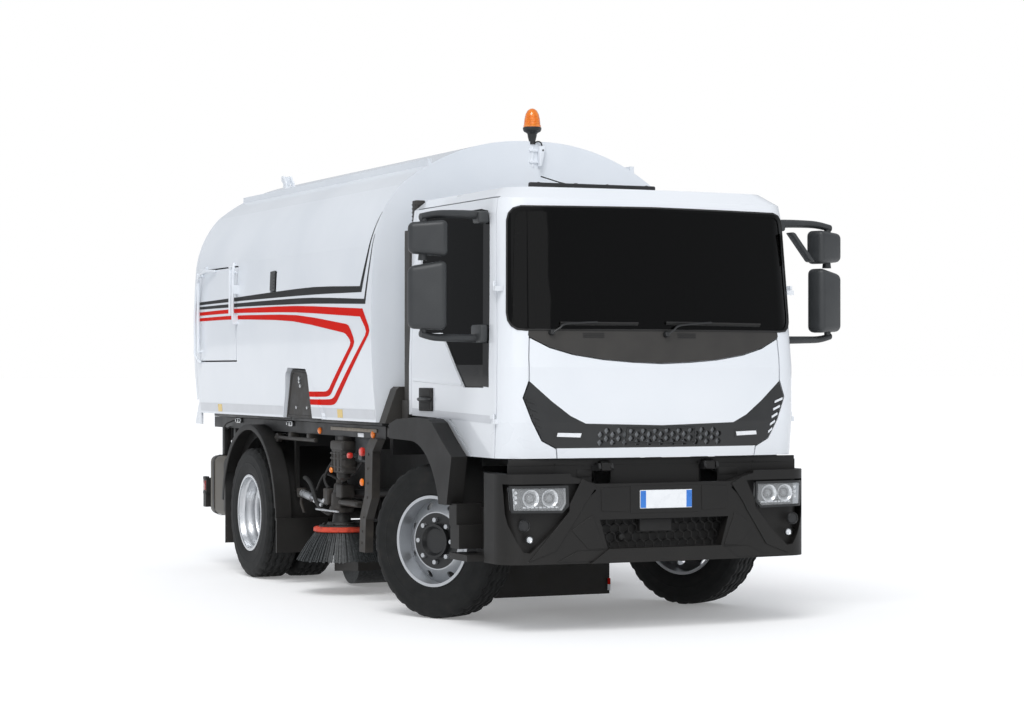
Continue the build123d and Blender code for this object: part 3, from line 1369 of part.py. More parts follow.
with BuildPart() as tail_bar:
    block((-1150, 1150), (6040, 6110), (480, 600))
    for side in SIDES:
        block(sided(side, RAIL_OUTER - 50, RAIL_OUTER), (6020 + FIT_GAP, 6060), (480, 900))
        block(sided(side, 760, 1150), (6020, 6112), (600, 720))
save(tail_bar, "tail_bar")

with BuildPart() as tail_lamps:
    for side in SIDES:
        block(sided(side, 790, 1120), (6112 + FIT_GAP, 6150), (612, 708))
save(tail_lamps, "tail_lamps")
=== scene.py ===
"""Street sweeper truck: finishes, trim, tread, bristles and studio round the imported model.

Metres, in the model's frame: X to the truck's left, the truck faces -Y, Z up from the ground.
A place along the truck is given as its distance back from the front face; at() turns it into Y.
"""

import math
import random

import bmesh
import bpy
from mathutils import Matrix, Vector


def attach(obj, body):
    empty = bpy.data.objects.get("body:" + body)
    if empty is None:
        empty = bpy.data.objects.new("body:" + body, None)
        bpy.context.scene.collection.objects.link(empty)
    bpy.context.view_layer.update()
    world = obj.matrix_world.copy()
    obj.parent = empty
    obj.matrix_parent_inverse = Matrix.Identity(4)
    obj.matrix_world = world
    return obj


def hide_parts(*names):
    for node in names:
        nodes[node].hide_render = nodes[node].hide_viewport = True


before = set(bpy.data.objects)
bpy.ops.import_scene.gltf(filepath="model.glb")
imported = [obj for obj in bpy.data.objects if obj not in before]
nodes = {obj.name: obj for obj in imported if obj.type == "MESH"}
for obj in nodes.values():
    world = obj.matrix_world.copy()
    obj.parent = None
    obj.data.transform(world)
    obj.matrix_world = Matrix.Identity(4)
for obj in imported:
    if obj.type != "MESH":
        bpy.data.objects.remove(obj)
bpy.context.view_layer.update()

FRONT = -3.140
SIDES = ((-1, "right"), (1, "left"))
UP, AHEAD = (0, 0, 1), (0, -1, 0)
TYRE_R = 0.506
BEAD_R = 0.287
STEER = math.radians(28)
FRONT_AXLE = 1.380
REAR_AXLE = 4.710
KINGPIN_X = 0.8
HUB_REACH = 0.185
REAR_TRACK_HALF = 0.915
TWIN_SHIFT = 0.156
BRUSH_X, BRUSH_BACK = 1.0, 3.15
ROLLER_BACK, ROLLER_Z = 3.726, 0.236
BEACON_BACK = 2.010


def at(back):
    """The Y of a place given by its distance behind the front face."""
    return FRONT + back


def placed(side, points):
    """Points given as (out from the middle, back, up), set on one side of the truck."""
    return [(side * x, at(back), z) for x, back, z in points]


def front_hub(side):
    """The middle of a front wheel and the way its axle points outward, steered as it stands."""
    way = Vector((side * math.cos(STEER), side * math.sin(STEER), 0))
    return Vector((side * KINGPIN_X, at(FRONT_AXLE), TYRE_R)) + way * HUB_REACH, way


# ---- Finishes -----------------------------------------------------------------------------


def linear(code):
    """An sRGB hex colour as linear red, green, blue and alpha."""
    parts = [int(code[i : i + 2], 16) / 255 for i in (1, 3, 5)]
    return tuple(c / 12.92 if c <= 0.04045 else ((c + 0.055) / 1.055) ** 2.4 for c in parts) + (1.0,)


def put(tree, kind, values=None, **settings):
    """Adds a shader node: its settings, then its sockets, each a constant or the output it takes."""
    node = tree.nodes.new("ShaderNode" + kind)
    for name, value in settings.items():
        setattr(node, name, value)
    for name, value in (values or {}).items():
        if isinstance(value, bpy.types.NodeSocket):
            tree.links.new(value, node.inputs[name])
        else:
            node.inputs[name].default_value = value
    return node


def blank(name):
    """A new material: its tree, surface shader and object coordinates in metres."""
    material = bpy.data.materials.new(name)
    material.use_nodes = True
    tree = material.node_tree
    shader = tree.nodes["Principled BSDF"]
    place = put(tree, "TexCoord").outputs["Object"]
    return material, tree, shader, place


def ramp(tree, factor, stops):
    """A colour ramp over (position, hex) stops."""
    node = put(tree, "ValToRGB", {"Fac": factor})
    points = node.color_ramp.elements
    while len(points) < len(stops):
        points.new(0.5)
    for point, (position, code) in zip(points, stops):
        point.position = position
        point.color = linear(code)
    return node.outputs["Color"]


def finish(name, stops, drift_mm, rough, grain_mm, depth_mm, metal=0.0, coat=0.0, settled=None, **sockets):
    """A coated, moulded or cast surface.

    stops: colours over a slow drift of drift_mm; rough: low and high roughness over that drift;
    grain_mm and depth_mm: pitch and relief of the fine grain; settled: (hex, height m, share) of dust.
    """
    material, tree, shader, place = blank(name)
    drift = put(tree, "TexNoise", {"Vector": place, "Scale": 1000 / drift_mm, "Detail": 4.0}).outputs["Fac"]
    colour = ramp(tree, drift, stops)
    if settled:
        code, height, share = settled
        up = put(tree, "SeparateXYZ", {"Vector": place}).outputs["Z"]
        low = put(tree, "MapRange", {"Value": up, "From Min": height, "From Max": 0.0, "To Max": share})
        cover = put(tree, "Math", {0: low.outputs[0], 1: drift}, operation="MULTIPLY").outputs[0]
        mix = put(tree, "Mix", {0: cover, 6: colour, 7: linear(code)}, data_type="RGBA")
        colour = mix.outputs[2]
    tree.links.new(colour, shader.inputs["Base Color"])
    spread = put(
        tree, "MapRange",
        {"Value": drift, "From Min": 0.3, "From Max": 0.7, "To Min": rough[0], "To Max": rough[1]},
    )
    tree.links.new(spread.outputs[0], shader.inputs["Roughness"])
    grain = put(tree, "TexNoise", {"Vector": place, "Scale": 1000 / grain_mm, "Detail": 2.0}).outputs["Fac"]
    bump = put(tree, "Bump", {"Height": grain, "Distance": depth_mm / 1000, "Strength": 0.6})
    tree.links.new(bump.outputs["Normal"], shader.inputs["Normal"])
    shader.inputs["Metallic"].default_value = metal
    shader.inputs["Coat Weight"].default_value = coat
    shader.inputs["Coat Roughness"].default_value = 0.06
    for socket, value in sockets.items():
        shader.inputs[socket.replace("_", " ")].default_value = value
    return material


# Two-coat acrylic enamel sprayed on pressed steel: even, bright, with a faint orange peel.
CAB_ENAMEL = finish(
    "sprayed_acrylic_enamel_cab", [(0.3, "#E3E7EC"), (0.7, "#EAEDF1")], 900, (0.26, 0.32), 3, 0.05,
    coat=0.7, settled=("#C9C8C4", 1.5, 0.25),
)
# The same enamel on the hopper's rolled steel sheet, whose wide panels wave slightly.
HOPPER_ENAMEL = finish(
    "sprayed_acrylic_enamel_hopper", [(0.3, "#E0E5EB"), (0.7, "#E8ECF1")], 700, (0.28, 0.36), 3, 0.05,
    coat=0.6, settled=("#BDBBB5", 1.6, 0.3),
)
# Injection-moulded polypropylene, eroded grain: grey highlights scatter. Grain drawn at 2.5 mm.
GRAINED_PP = finish(
    "moulded_polypropylene_grained", [(0.3, "#141312"), (0.7, "#1B1A19")], 260, (0.48, 0.58), 2.5, 0.25,
    settled=("#423E38", 0.9, 0.22), Specular_IOR_Level=0.34,
)
# Smooth moulded ABS on the mirror shells: a soft sheen and a cooler grey.
MIRROR_ABS = finish(
    "moulded_abs_mirror_shell", [(0.3, "#2E3032"), (0.7, "#383A3B")], 200, (0.42, 0.5), 2.5, 0.15,
)
# Thermoformed ABS under the windscreen, bleached by sun to a warm grey.
COWL_ABS = finish(
    "moulded_abs_cowl", [(0.3, "#2D2B29"), (0.7, "#363431")], 180, (0.5, 0.58), 2.5, 0.2,
)
# Smooth moulded black plastic with a low gloss for the grille and lamp bezels.
GRILLE_ABS = finish(
    "moulded_abs_grille", [(0.3, "#1C1D1E"), (0.7, "#242526")], 160, (0.34, 0.42), 3, 0.1,
)
# Chassis enamel brushed over hot-rolled steel: satin black, dusty low down.
CHASSIS_ENAMEL = finish(
    "brushed_chassis_enamel", [(0.25, "#161616"), (0.6, "#1E1E1E"), (0.85, "#2A2724")], 240, (0.4, 0.6), 9,
    0.5, settled=("#57514A", 0.95, 0.45),
)
# Sand-cast iron under black paint: coarse skin and dull.
CAST_IRON = finish(
    "sand_cast_iron_painted", [(0.3, "#1B1B1B"), (0.7, "#292725")], 120, (0.6, 0.75), 5, 0.9,
    settled=("#5D554B", 0.8, 0.45),
)
# Engine castings in grey machine enamel, oily and dusty.
ENGINE_GREY = finish(
    "sand_cast_iron_grey", [(0.3, "#3A3B3C"), (0.7, "#4B4B4A")], 150, (0.5, 0.7), 5, 0.8,
    settled=("#5D554B", 0.9, 0.4),
)
# Rims in baked silver paint: aluminium flake gives a bright, slightly grainy metal.
SILVER_PAINT = finish(
    "baked_silver_wheel_paint", [(0.3, "#C3C6C9"), (0.7, "#D6D8DB")], 130, (0.24, 0.36), 1.6, 0.06,
    metal=0.8, settled=("#8A867E", 0.75, 0.2),
)
# Ground and plated steel of cylinder rods, nuts and fittings.
PLATED_STEEL = finish(
    "zinc_plated_steel", [(0.3, "#B5B7B8"), (0.7, "#CBCCCC")], 60, (0.18, 0.3), 2, 0.04, metal=1.0
)
# Ceramic print fired on the back of the glass: deep black with the glass gloss.
PRINT_BLACK = finish(
    "fired_ceramic_print", [(0.3, "#060606"), (0.7, "#0B0B0B")], 200, (0.05, 0.09), 6, 0.02,
    Specular_IOR_Level=0.14,
)
# Vulcanised rubber sheet of flaps and hoses.
RUBBER = finish(
    "calendered_rubber", [(0.3, "#171717"), (0.7, "#222120")], 90, (0.6, 0.75), 4, 0.3,
    settled=("#4C4741", 0.7, 0.5),
)
# Grey-brown roto-moulded tanks: a waxy skin with a faint orange peel.
TANK_PE = finish(
    "rotomoulded_polyethylene", [(0.3, "#2B2926"), (0.7, "#37342F")], 220, (0.45, 0.58), 6, 0.4,
    settled=("#6B6459", 1.0, 0.4),
)
# The tank seen on the side: the same polyethylene, bleached and dusty.
TANK_SKIN = finish(
    "rotomoulded_polyethylene_weathered", [(0.3, "#4A463F"), (0.7, "#5A554C")], 200, (0.42, 0.55), 6, 0.4,
    settled=("#7A7266", 1.0, 0.3),
)
# Soft-touch slush-moulded dashboard skin with a leather grain.
DASH_SKIN = finish(
    "slush_moulded_dash_skin", [(0.3, "#232427"), (0.7, "#2C2D30")], 140, (0.55, 0.65), 3, 0.5,
)
# Cast PVC film: flat red and black stripes with a soft gloss of their own.
RED_FILM = finish(
    "cast_vinyl_film_red", [(0.3, "#CE1204"), (0.7, "#D81A08")], 300, (0.5, 0.58), 4, 0.03,
    Specular_IOR_Level=0.05,
)
BLACK_FILM = finish(
    "cast_vinyl_film_black", [(0.3, "#0E1011"), (0.7, "#161819")], 300, (0.42, 0.5), 4, 0.03,
    Specular_IOR_Level=0.15,
)
GREY_FILM = finish(
    "reflective_film_grey", [(0.3, "#C6C9CE"), (0.7, "#D0D3D8")], 200, (0.3, 0.4), 3, 0.05, coat=0.4,
)
YELLOW_FILM = finish(
    "reflective_film_yellow", [(0.3, "#D9B545"), (0.7, "#E2C050")], 40, (0.25, 0.35), 3, 0.05, coat=0.5,
)
BLUE_FILM = finish(
    "reflective_film_blue", [(0.3, "#1F6FC9"), (0.7, "#2A7BD4")], 60, (0.25, 0.35), 3, 0.05, coat=0.5,
)
# Embossed aluminium plate under white reflective film, left without characters.
PLATE_FILM = finish(
    "reflective_film_white", [(0.3, "#E9EBEE"), (0.7, "#F1F3F5")], 60, (0.25, 0.35), 3, 0.05, coat=0.5,
)
# Powder-coated ring that clamps the bristles: orange red, chipped and dusty.
RING_RED = finish(
    "powder_coated_ring_red", [(0.2, "#7E2C20"), (0.4, "#C8402A"), (0.7, "#DD5238")], 30, (0.45, 0.65), 4,
    0.3,
)
# Gloss moulded knobs.
KNOB_RED = finish(
    "moulded_acetal_red", [(0.3, "#C92C22"), (0.7, "#D83A2E")], 30, (0.25, 0.35), 4, 0.05, coat=0.3,
)
# Aluminised reflector bowls behind the lamp glass.
REFLECTOR = finish(
    "vacuum_aluminised_reflector", [(0.3, "#D9DCDF"), (0.7, "#F4F6F8")], 18, (0.1, 0.25), 5, 0.5, metal=0.55
)
# Tarnished dark steel of the under-hopper gear: brown black with road dust.
GEAR_STEEL = finish(
    "painted_steel_road_worn", [(0.25, "#1B1917"), (0.55, "#2A2724"), (0.8, "#3D3832")], 90, (0.45, 0.65),
    5, 0.5, settled=("#5A5147", 1.3, 0.25),
)
# Pale worn paint of the marker rail and cheek plates.
WORN_BEIGE = finish("worn_beige_enamel", [(0.3, "#6E665B"), (0.7, "#93897A")], 60, (0.45, 0.6), 5, 0.3)
# Dark zinc casting of latch bodies and brackets.
DARK_ZINC = finish(
    "die_cast_zinc_dark", [(0.3, "#303335"), (0.7, "#3D4042")], 80, (0.4, 0.5), 3, 0.15, metal=0.3,
)


def glazing(name, code, rough, weight, ior=1.5, alpha=1.0):
    """Float glass or clear moulding: colour, roughness, how much light it lets through, and cover."""
    material, tree, shader, place = blank(name)
    film = put(tree, "TexNoise", {"Vector": place, "Scale": 6.0, "Detail": 3.0}).outputs["Fac"]
    haze = put(
        tree, "MapRange",
        {"Value": film, "From Min": 0.35, "From Max": 0.75, "To Min": rough, "To Max": rough + 0.03},
    )
    tree.links.new(haze.outputs[0], shader.inputs["Roughness"])
    shader.inputs["Base Color"].default_value = linear(code)
    shader.inputs["Transmission Weight"].default_value = weight
    shader.inputs["IOR"].default_value = ior
    shader.inputs["Alpha"].default_value = alpha
    return material


# Laminated, strongly tinted float glass: nearly black, with a sharp reflection.
TINTED_GLASS = glazing("laminated_tinted_glass", "#0C0B0A", 0.01, 0.75, ior=1.26)
# Toughened side glass, darker, with a coating that kills most of the glare.
SIDE_GLASS = glazing("toughened_privacy_glass", "#080808", 0.01, 0.6, ior=1.10)
# Moulded polycarbonate lamp covers.
CLEAR_PC = glazing("moulded_clear_polycarbonate", "#F3F6F8", 0.02, 0.0, alpha=0.14)


def lens(name, code, valley_shade, pitch_mm, glow=0.0):
    """A moulded coloured lens with vertical optic ribs inside, their valleys darkened as painted shade."""
    material, tree, shader, place = blank(name)
    ribs = put(
        tree, "TexWave", {"Vector": place, "Scale": 1000 / pitch_mm / 20, "Distortion": 0.0},
        bands_direction="X",
    )
    bump = put(tree, "Bump", {"Height": ribs.outputs["Fac"], "Distance": 0.0006, "Strength": 0.5})
    tree.links.new(bump.outputs["Normal"], shader.inputs["Normal"])
    # The second colour, in the rib valleys, is painted shade.
    tint = ramp(tree, ribs.outputs["Fac"], [(0.0, valley_shade), (1.0, code)])
    tree.links.new(tint, shader.inputs["Base Color"])
    shader.inputs["Roughness"].default_value = 0.12
    shader.inputs["Transmission Weight"].default_value = 0.35
    shader.inputs["Coat Weight"].default_value = 0.6
    shader.inputs["Emission Color"].default_value = linear(code)
    shader.inputs["Emission Strength"].default_value = glow
    return material


# The second colour of each lens is painted shade in its rib valleys.
AMBER_LENS = lens("moulded_amber_acrylic", "#F58E20", "#E87C14", 6, 0.12)
RED_LENS = lens("moulded_red_acrylic", "#B51810", "#9E120C", 8, 0.04)


def tyre_rubber():
    """Carbon-black tread compound: dull, with rings on the wall and dry dust mottled over it at random."""
    material, tree, shader, place = blank("vulcanised_tyre_rubber")
    mottle = put(tree, "TexNoise", {"Vector": place, "Scale": 14.0, "Detail": 6.0}).outputs["Fac"]
    colour = ramp(tree, mottle, [(0.3, "#101111"), (0.55, "#171818"), (0.8, "#211F1D")])
    tree.links.new(colour, shader.inputs["Base Color"])
    fine = put(tree, "TexNoise", {"Vector": place, "Scale": 420.0, "Detail": 2.0}).outputs["Fac"]
    bump = put(tree, "Bump", {"Height": fine, "Distance": 0.0003, "Strength": 0.7})
    tree.links.new(bump.outputs["Normal"], shader.inputs["Normal"])
    shader.inputs["Roughness"].default_value = 0.68
    shader.inputs["Specular IOR Level"].default_value = 0.3
    return material


TYRE_RUBBER = tyre_rubber()


def bristle_wire():
    """Flat steel wire and polypropylene bristle: dark grey, streaked lighter at random."""
    material, tree, shader, place = blank("crimped_bristle")
    streak = put(tree, "TexNoise", {"Vector": place, "Scale": 60.0, "Detail": 3.0}).outputs["Fac"]
    colour = ramp(tree, streak, [(0.3, "#222425"), (0.6, "#3A3D3E"), (0.85, "#5B5E5E")])
    tree.links.new(colour, shader.inputs["Base Color"])
    shader.inputs["Roughness"].default_value = 0.5
    shader.inputs["Metallic"].default_value = 0.2
    return material


BRISTLE = bristle_wire()


def seat_cloth():
    """Woven polyester seat cloth: 2 mm threads drawn at 5 mm so that the weave shows."""
    material, tree, shader, place = blank("woven_polyester_seat_cloth")
    warp = put(
        tree, "TexWave", {"Vector": place, "Scale": 10.0, "Distortion": 0.4}, bands_direction="X",
    ).outputs["Fac"]
    weft = put(
        tree, "TexWave", {"Vector": place, "Scale": 10.0, "Distortion": 0.4}, bands_direction="Z",
    ).outputs["Fac"]
    cross = put(tree, "Math", {0: warp, 1: weft}, operation="MAXIMUM").outputs[0]
    colour = ramp(tree, cross, [(0.2, "#1B1C20"), (0.9, "#33353C")])
    tree.links.new(colour, shader.inputs["Base Color"])
    bump = put(tree, "Bump", {"Height": cross, "Distance": 0.0008, "Strength": 0.8})
    tree.links.new(bump.outputs["Normal"], shader.inputs["Normal"])
    shader.inputs["Roughness"].default_value = 0.9
    shader.inputs["Sheen Weight"].default_value = 0.3
    return material


SEAT_CLOTH = seat_cloth()


# The front wheel's black middle ends past the studs; its nuts stand outside a radius and proud of the disc.
BLACK_TO_R, NUTS_FROM_R, NUTS_PROUD = 0.183, 0.118, 0.0795


def wheel_paint_two_tone():
    """Silver wheel paint with the centre out to the studs in black enamel and bright nuts."""
    material, tree, shader, place = blank("baked_wheel_paint_two_tone")
    fleck = put(tree, "TexNoise", {"Vector": place, "Scale": 500.0, "Detail": 2.0}).outputs["Fac"]
    silver = ramp(tree, fleck, [(0.3, "#B0B3B6"), (0.7, "#C9CBCE")])
    from_middle = []
    for side, _ in SIDES:
        hub, way = front_hub(side)
        offset = put(tree, "VectorMath", {0: place, 1: hub}, operation="SUBTRACT").outputs["Vector"]
        along = put(tree, "VectorMath", {0: offset, 1: way}, operation="DOT_PRODUCT").outputs["Value"]
        cross = put(tree, "VectorMath", {0: offset, 1: way}, operation="CROSS_PRODUCT").outputs["Vector"]
        radius = put(tree, "VectorMath", {0: cross}, operation="LENGTH").outputs["Value"]
        from_middle.append((radius, along))
    radius = put(tree, "Math", {0: from_middle[0][0], 1: from_middle[1][0]}, operation="MINIMUM").outputs[0]
    middle = put(tree, "Math", {0: radius, 1: BLACK_TO_R}, operation="LESS_THAN").outputs[0]
    along = put(tree, "Math", {0: from_middle[0][1], 1: from_middle[1][1]}, operation="MAXIMUM").outputs[0]
    raised = put(tree, "Math", {0: along, 1: NUTS_PROUD}, operation="GREATER_THAN").outputs[0]
    ringed = put(tree, "Math", {0: radius, 1: NUTS_FROM_R}, operation="GREATER_THAN").outputs[0]
    nuts = put(tree, "Math", {0: raised, 1: ringed}, operation="MULTIPLY").outputs[0]
    plain = put(tree, "Math", {0: 1.0, 1: nuts}, operation="SUBTRACT").outputs[0]
    dark = put(tree, "Math", {0: middle, 1: plain}, operation="MULTIPLY").outputs[0]
    mix = put(tree, "Mix", {0: dark, 6: silver, 7: linear("#1A1B1C")}, data_type="RGBA")
    tree.links.new(mix.outputs[2], shader.inputs["Base Color"])
    shine = put(tree, "MapRange", {"Value": dark, "To Min": 0.75, "To Max": 0.0}).outputs[0]
    tree.links.new(shine, shader.inputs["Metallic"])
    shader.inputs["Roughness"].default_value = 0.36
    return material


TWO_TONE = wheel_paint_two_tone()

FINISH_OF = {
    "frame": CHASSIS_ENAMEL, "tail_bar": CHASSIS_ENAMEL, "brush_hood": CHASSIS_ENAMEL,
    "conveyor": CHASSIS_ENAMEL, "engine": ENGINE_GREY, "front_axle": CAST_IRON, "rear_axle": CAST_IRON,
    "tie_rod": CAST_IRON, "bumper": GRAINED_PP, "front_fenders": GRAINED_PP, "rear_fenders": GRAINED_PP,
    "cab_trim": COWL_ABS, "grille": GRILLE_ABS, "mud_flaps": RUBBER, "side_tanks": TANK_PE,
    "equipment": GEAR_STEEL, "tail_lamps": RED_LENS, "headlamps": CLEAR_PC, "cab_shell": CAB_ENAMEL,
    "hood": CAB_ENAMEL, "windscreen": TINTED_GLASS, "seats": SEAT_CLOTH, "dashboard": DASH_SKIN,
    "hopper": HOPPER_ENAMEL, "hopper_hatch": HOPPER_ENAMEL, "rear_door": HOPPER_ENAMEL,
    "beacon": AMBER_LENS, "roller_brush": BRISTLE,
}
for _, name in SIDES:
    FINISH_OF.update({
        f"door_{name}": CAB_ENAMEL, f"door_glass_{name}": SIDE_GLASS, f"mirrors_{name}": MIRROR_ABS,
        f"knuckle_{name}": CAST_IRON, f"tyre_front_{name}": TYRE_RUBBER, f"tyres_rear_{name}": TYRE_RUBBER,
        f"rim_front_{name}": TWO_TONE, f"rims_rear_{name}": SILVER_PAINT,
        f"lift_barrel_{name}": CHASSIS_ENAMEL, f"lift_ram_{name}": PLATED_STEEL,
        f"brush_arm_{name}": CHASSIS_ENAMEL, f"side_brush_{name}": BRISTLE,
    })
for name, node in nodes.items():
    node.data.materials.clear()
    node.data.materials.append(FINISH_OF[name])

# ---- Shapes -------------------------------------------------------------------------------


def close(mesh, name, material, body, smooth=35, bevel=0.0, hides=()):
    """Turns a bmesh into a named piece that rides on a body."""
    bmesh.ops.recalc_face_normals(mesh, faces=mesh.faces)
    data = bpy.data.meshes.new(name)
    mesh.to_mesh(data)
    mesh.free()
    data.materials.append(material)
    data.shade_smooth()
    data.set_sharp_from_angle(angle=math.radians(smooth))
    piece = bpy.data.objects.new(name, data)
    bpy.context.scene.collection.objects.link(piece)
    if bevel:
        edge = piece.modifiers.new("edge", "BEVEL")
        edge.width = bevel
        edge.segments = 2
        edge.limit_method = "ANGLE"
        edge.angle_limit = math.radians(40)
    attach(piece, body)
    if hides:
        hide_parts(*hides)
    return piece


def brick(mesh, low, high):
    """A box between two corners."""
    low, high = Vector(low), Vector(high)
    place = Matrix.Translation((low + high) / 2) @ Matrix.Diagonal((*(high - low), 1.0))
    bmesh.ops.create_cube(mesh, size=1.0, matrix=place)


def frame_of(way):
    """Two directions square to a direction."""
    way = Vector(way).normalized()
    side = way.cross(Vector((0, 0, 1)))
    if side.length < 0.1:
        side = way.cross(Vector((0, 1, 0)))
    side.normalize()
    return way, side, way.cross(side)


def lathe(mesh, origin, way, profile, count=32):
    """Turns (along, radius) points about an axis; a zero radius closes to a point."""
    way, side, up = frame_of(way)
    rows = []
    for i in range(count):
        angle = 2 * math.pi * i / count
        out = side * math.cos(angle) + up * math.sin(angle)
        rows.append([
            mesh.verts.new(Vector(origin) + way * along + out * radius)
            for along, radius in profile
        ])
    for i in range(count):
        a, b = rows[i], rows[(i + 1) % count]
        for j in range(len(profile) - 1):
            mesh.faces.new((a[j], a[j + 1], b[j + 1], b[j]))
    bmesh.ops.remove_doubles(mesh, verts=[v for row in rows for v in row], dist=1e-6)


def boss(mesh, side, x, back, z, profile, count):
    """A turned detail that stands out from one side of the truck."""
    lathe(mesh, (side * x, at(back), z), (side, 0, 0), profile, count)


def tube(mesh, points, radius, count=10, ends=True):
    """A round tube along points, with mitred corners."""
    points = [Vector(p) for p in points]
    rings = []
    side = None
    for i, point in enumerate(points):
        before = (point - points[i - 1]).normalized() if i else None
        after = (points[i + 1] - point).normalized() if i < len(points) - 1 else None
        way = ((before or after) + (after or before)).normalized()
        if side is None:
            side = frame_of(way)[1]
        side = (side - way * side.dot(way)).normalized()
        up = way.cross(side)
        stretch = 1.0
        if before and after:
            stretch = 1 / max(0.5, math.sqrt((1 + before.dot(after)) / 2))
        rings.append([
            mesh.verts.new(point + (side * math.cos(t) + up * math.sin(t)) * radius * min(stretch, 1.2))
            for t in (2 * math.pi * k / count for k in range(count))
        ])
    for a, b in zip(rings, rings[1:]):
        for k in range(count):
            mesh.faces.new((a[k], a[(k + 1) % count], b[(k + 1) % count], b[k]))
    if ends:
        mesh.faces.new(rings[0])
        mesh.faces.new(rings[-1])


def curve_through(points, steps=6):
    """Points on a smooth line through the given ones."""
    points = [Vector(p) for p in points]
    out = []
    for i in range(len(points) - 1):
        p0 = points[max(i - 1, 0)]
        p1, p2 = points[i], points[i + 1]
        p3 = points[min(i + 2, len(points) - 1)]
        for k in range(steps):
            t = k / steps
            out.append(
                0.5 * (
                    2 * p1 + (p2 - p0) * t + (
                        2 * p0 - 5 * p1 + 4 * p2 - p3
                    ) * t * t + (3 * p1 - p0 - 3 * p2 + p3) * t ** 3
                )
            )
    out.append(points[-1])
    return out


def sheet(mesh, rows, back=None):
    """Skins rows of points; with a vector to its back, closes it as a plate."""
    layers = [[[mesh.verts.new(p) for p in row] for row in rows]]
    if back:
        layers.append([[mesh.verts.new(p + Vector(back)) for p in row] for row in rows])
    for grid in layers:
        for a, b in zip(grid, grid[1:]):
            for k in range(len(a) - 1):
                mesh.faces.new((a[k], a[k + 1], b[k + 1], b[k]))
    if back:
        rims = []
        for grid in layers:
            rim = grid[0] + [row[-1] for row in grid[1:]] + grid[-1][-2::-1] + [
                row[0]
                for row in grid[-2:0:-1]
            ]
            rims.append(rim)
        near, far = rims
        for k in range(len(near)):
            mesh.faces.new((near[k], near[(k + 1) % len(near)], far[(k + 1) % len(near)], far[k]))


def prism(mesh, outline, out):
    """A closed outline pushed along a vector."""
    near = [mesh.verts.new(p) for p in outline]
    far = [mesh.verts.new(Vector(p) + Vector(out)) for p in outline]
    count = len(outline)
    mesh.faces.new(near)
    mesh.faces.new(far[::-1])
    for k in range(count):
        mesh.faces.new((near[k], near[(k + 1) % count], far[(k + 1) % count], far[k]))


def side_plate(mesh, side, x, outline, thick):
    """A plate that faces outward on one side of the truck, over an outline of (back, z)."""
    prism(mesh, [(side * x, at(back), z) for back, z in outline], (side * thick, 0, 0))


# ---- Tyres --------------------------------------------------------------------------------

STEPS = 120


def tread_radius(along, step):
    """The tread's surface at a place across it: four zigzag grooves and cut shoulders."""
    zig = 0.004 if step % 4 in (1, 2) else -0.004
    for groove in (-0.078, -0.027, 0.027, 0.078):
        if abs(along - groove - zig) < 0.0065:
            return TYRE_R - 0.013
    if abs(along) > 0.088 and step % 4 == 0:
        return TYRE_R - 0.012
    return TYRE_R - 0.0005 - 0.002 * (along / 0.104) ** 2


def tyre(mesh, origin, way, shift):
    """One tyre with its tread, wall rings and bead, its middle moved along the axle."""
    way, side, up = frame_of(way)
    wall = [
        (0.118, BEAD_R), (0.1195, 0.301), (0.127, 0.306), (0.1315, 0.322), (0.1355, 0.345), (0.1375, 0.37),
        (0.1372, 0.385), (0.138, 0.387), (0.138, 0.391), (0.1368, 0.393), (0.136, 0.42), (0.134, 0.448),
        (0.1345, 0.452), (0.133, 0.456), (0.130, 0.471), (0.1245, 0.484), (0.1165, 0.494),
    ]
    across = [0.104, 0.0895, 0.086, 0.08, 0.0745, 0.071, 0.055, 0.0355, 0.0315, 0.0265, 0.0225, 0.018, 0.0]
    across = across[:-1] + [0.006, -0.006] + [-a for a in reversed(across[:-1])]
    rows = []
    for i in range(STEPS):
        angle = 2 * math.pi * i / STEPS
        out = side * math.cos(angle) + up * math.sin(angle)
        cut = 0.010 if i % 4 == 0 else 0.0
        flank = []
        for along, radius in wall:
            inward = cut * 0.35 if radius > 0.47 else 0
            flank.append((along - inward, radius - (cut if radius > 0.49 else 0)))
        tread = [(a, tread_radius(a, i)) for a in across]
        row = flank + tread + [(-along, radius) for along, radius in reversed(flank)]
        rows.append([mesh.verts.new(Vector(origin) + way * (shift + a) + out * r) for a, r in row])
    for i in range(STEPS):
        a, b = rows[i], rows[(i + 1) % STEPS]
        for j in range(len(a) - 1):
            mesh.faces.new((a[j], a[j + 1], b[j + 1], b[j]))
        mesh.faces.new((a[-1], a[0], b[0], b[-1]))


for side, name in SIDES:
    hub, turned = front_hub(side)
    mesh = bmesh.new()
    tyre(mesh, hub, turned, 0)
    close(
        mesh, f"tyre_tread_front_{name}", TYRE_RUBBER, f"wheel_front_{name}", 28,
        hides=[f"tyre_front_{name}"],
    )
    mesh = bmesh.new()
    for shift in (TWIN_SHIFT, -TWIN_SHIFT):
        tyre(mesh, (side * REAR_TRACK_HALF, at(REAR_AXLE), TYRE_R), (side, 0, 0), shift)
    close(
        mesh, f"tyre_tread_rear_{name}", TYRE_RUBBER, f"wheels_rear_{name}", 28,
        hides=[f"tyres_rear_{name}"],
    )

# ---- Brushes ------------------------------------------------------------------------------

random.seed(7)


def bristle(mesh, root, tip, width, way):
    """One flat tapering tuft of bristles."""
    across = (Vector(tip) - Vector(root)).cross(Vector(way)).normalized() * width
    thick = Vector(way).normalized() * width * 0.5
    root, tip = Vector(root), Vector(tip)
    bulge = (root + tip) / 2 + Vector((0, 0, 0.01))
    rings = []
    for point, size in ((root, 0.6), (bulge, 0.9), (tip, 1.1)):
        rings.append([
            mesh.verts.new(point + across * a * size + thick * b * size)
            for a, b in ((-1, -1), (1, -1), (1, 1), (-1, 1))
        ])
    for a, b in zip(rings, rings[1:]):
        for k in range(4):
            mesh.faces.new((a[k], a[(k + 1) % 4], b[(k + 1) % 4], b[k]))
    mesh.faces.new(rings[-1])


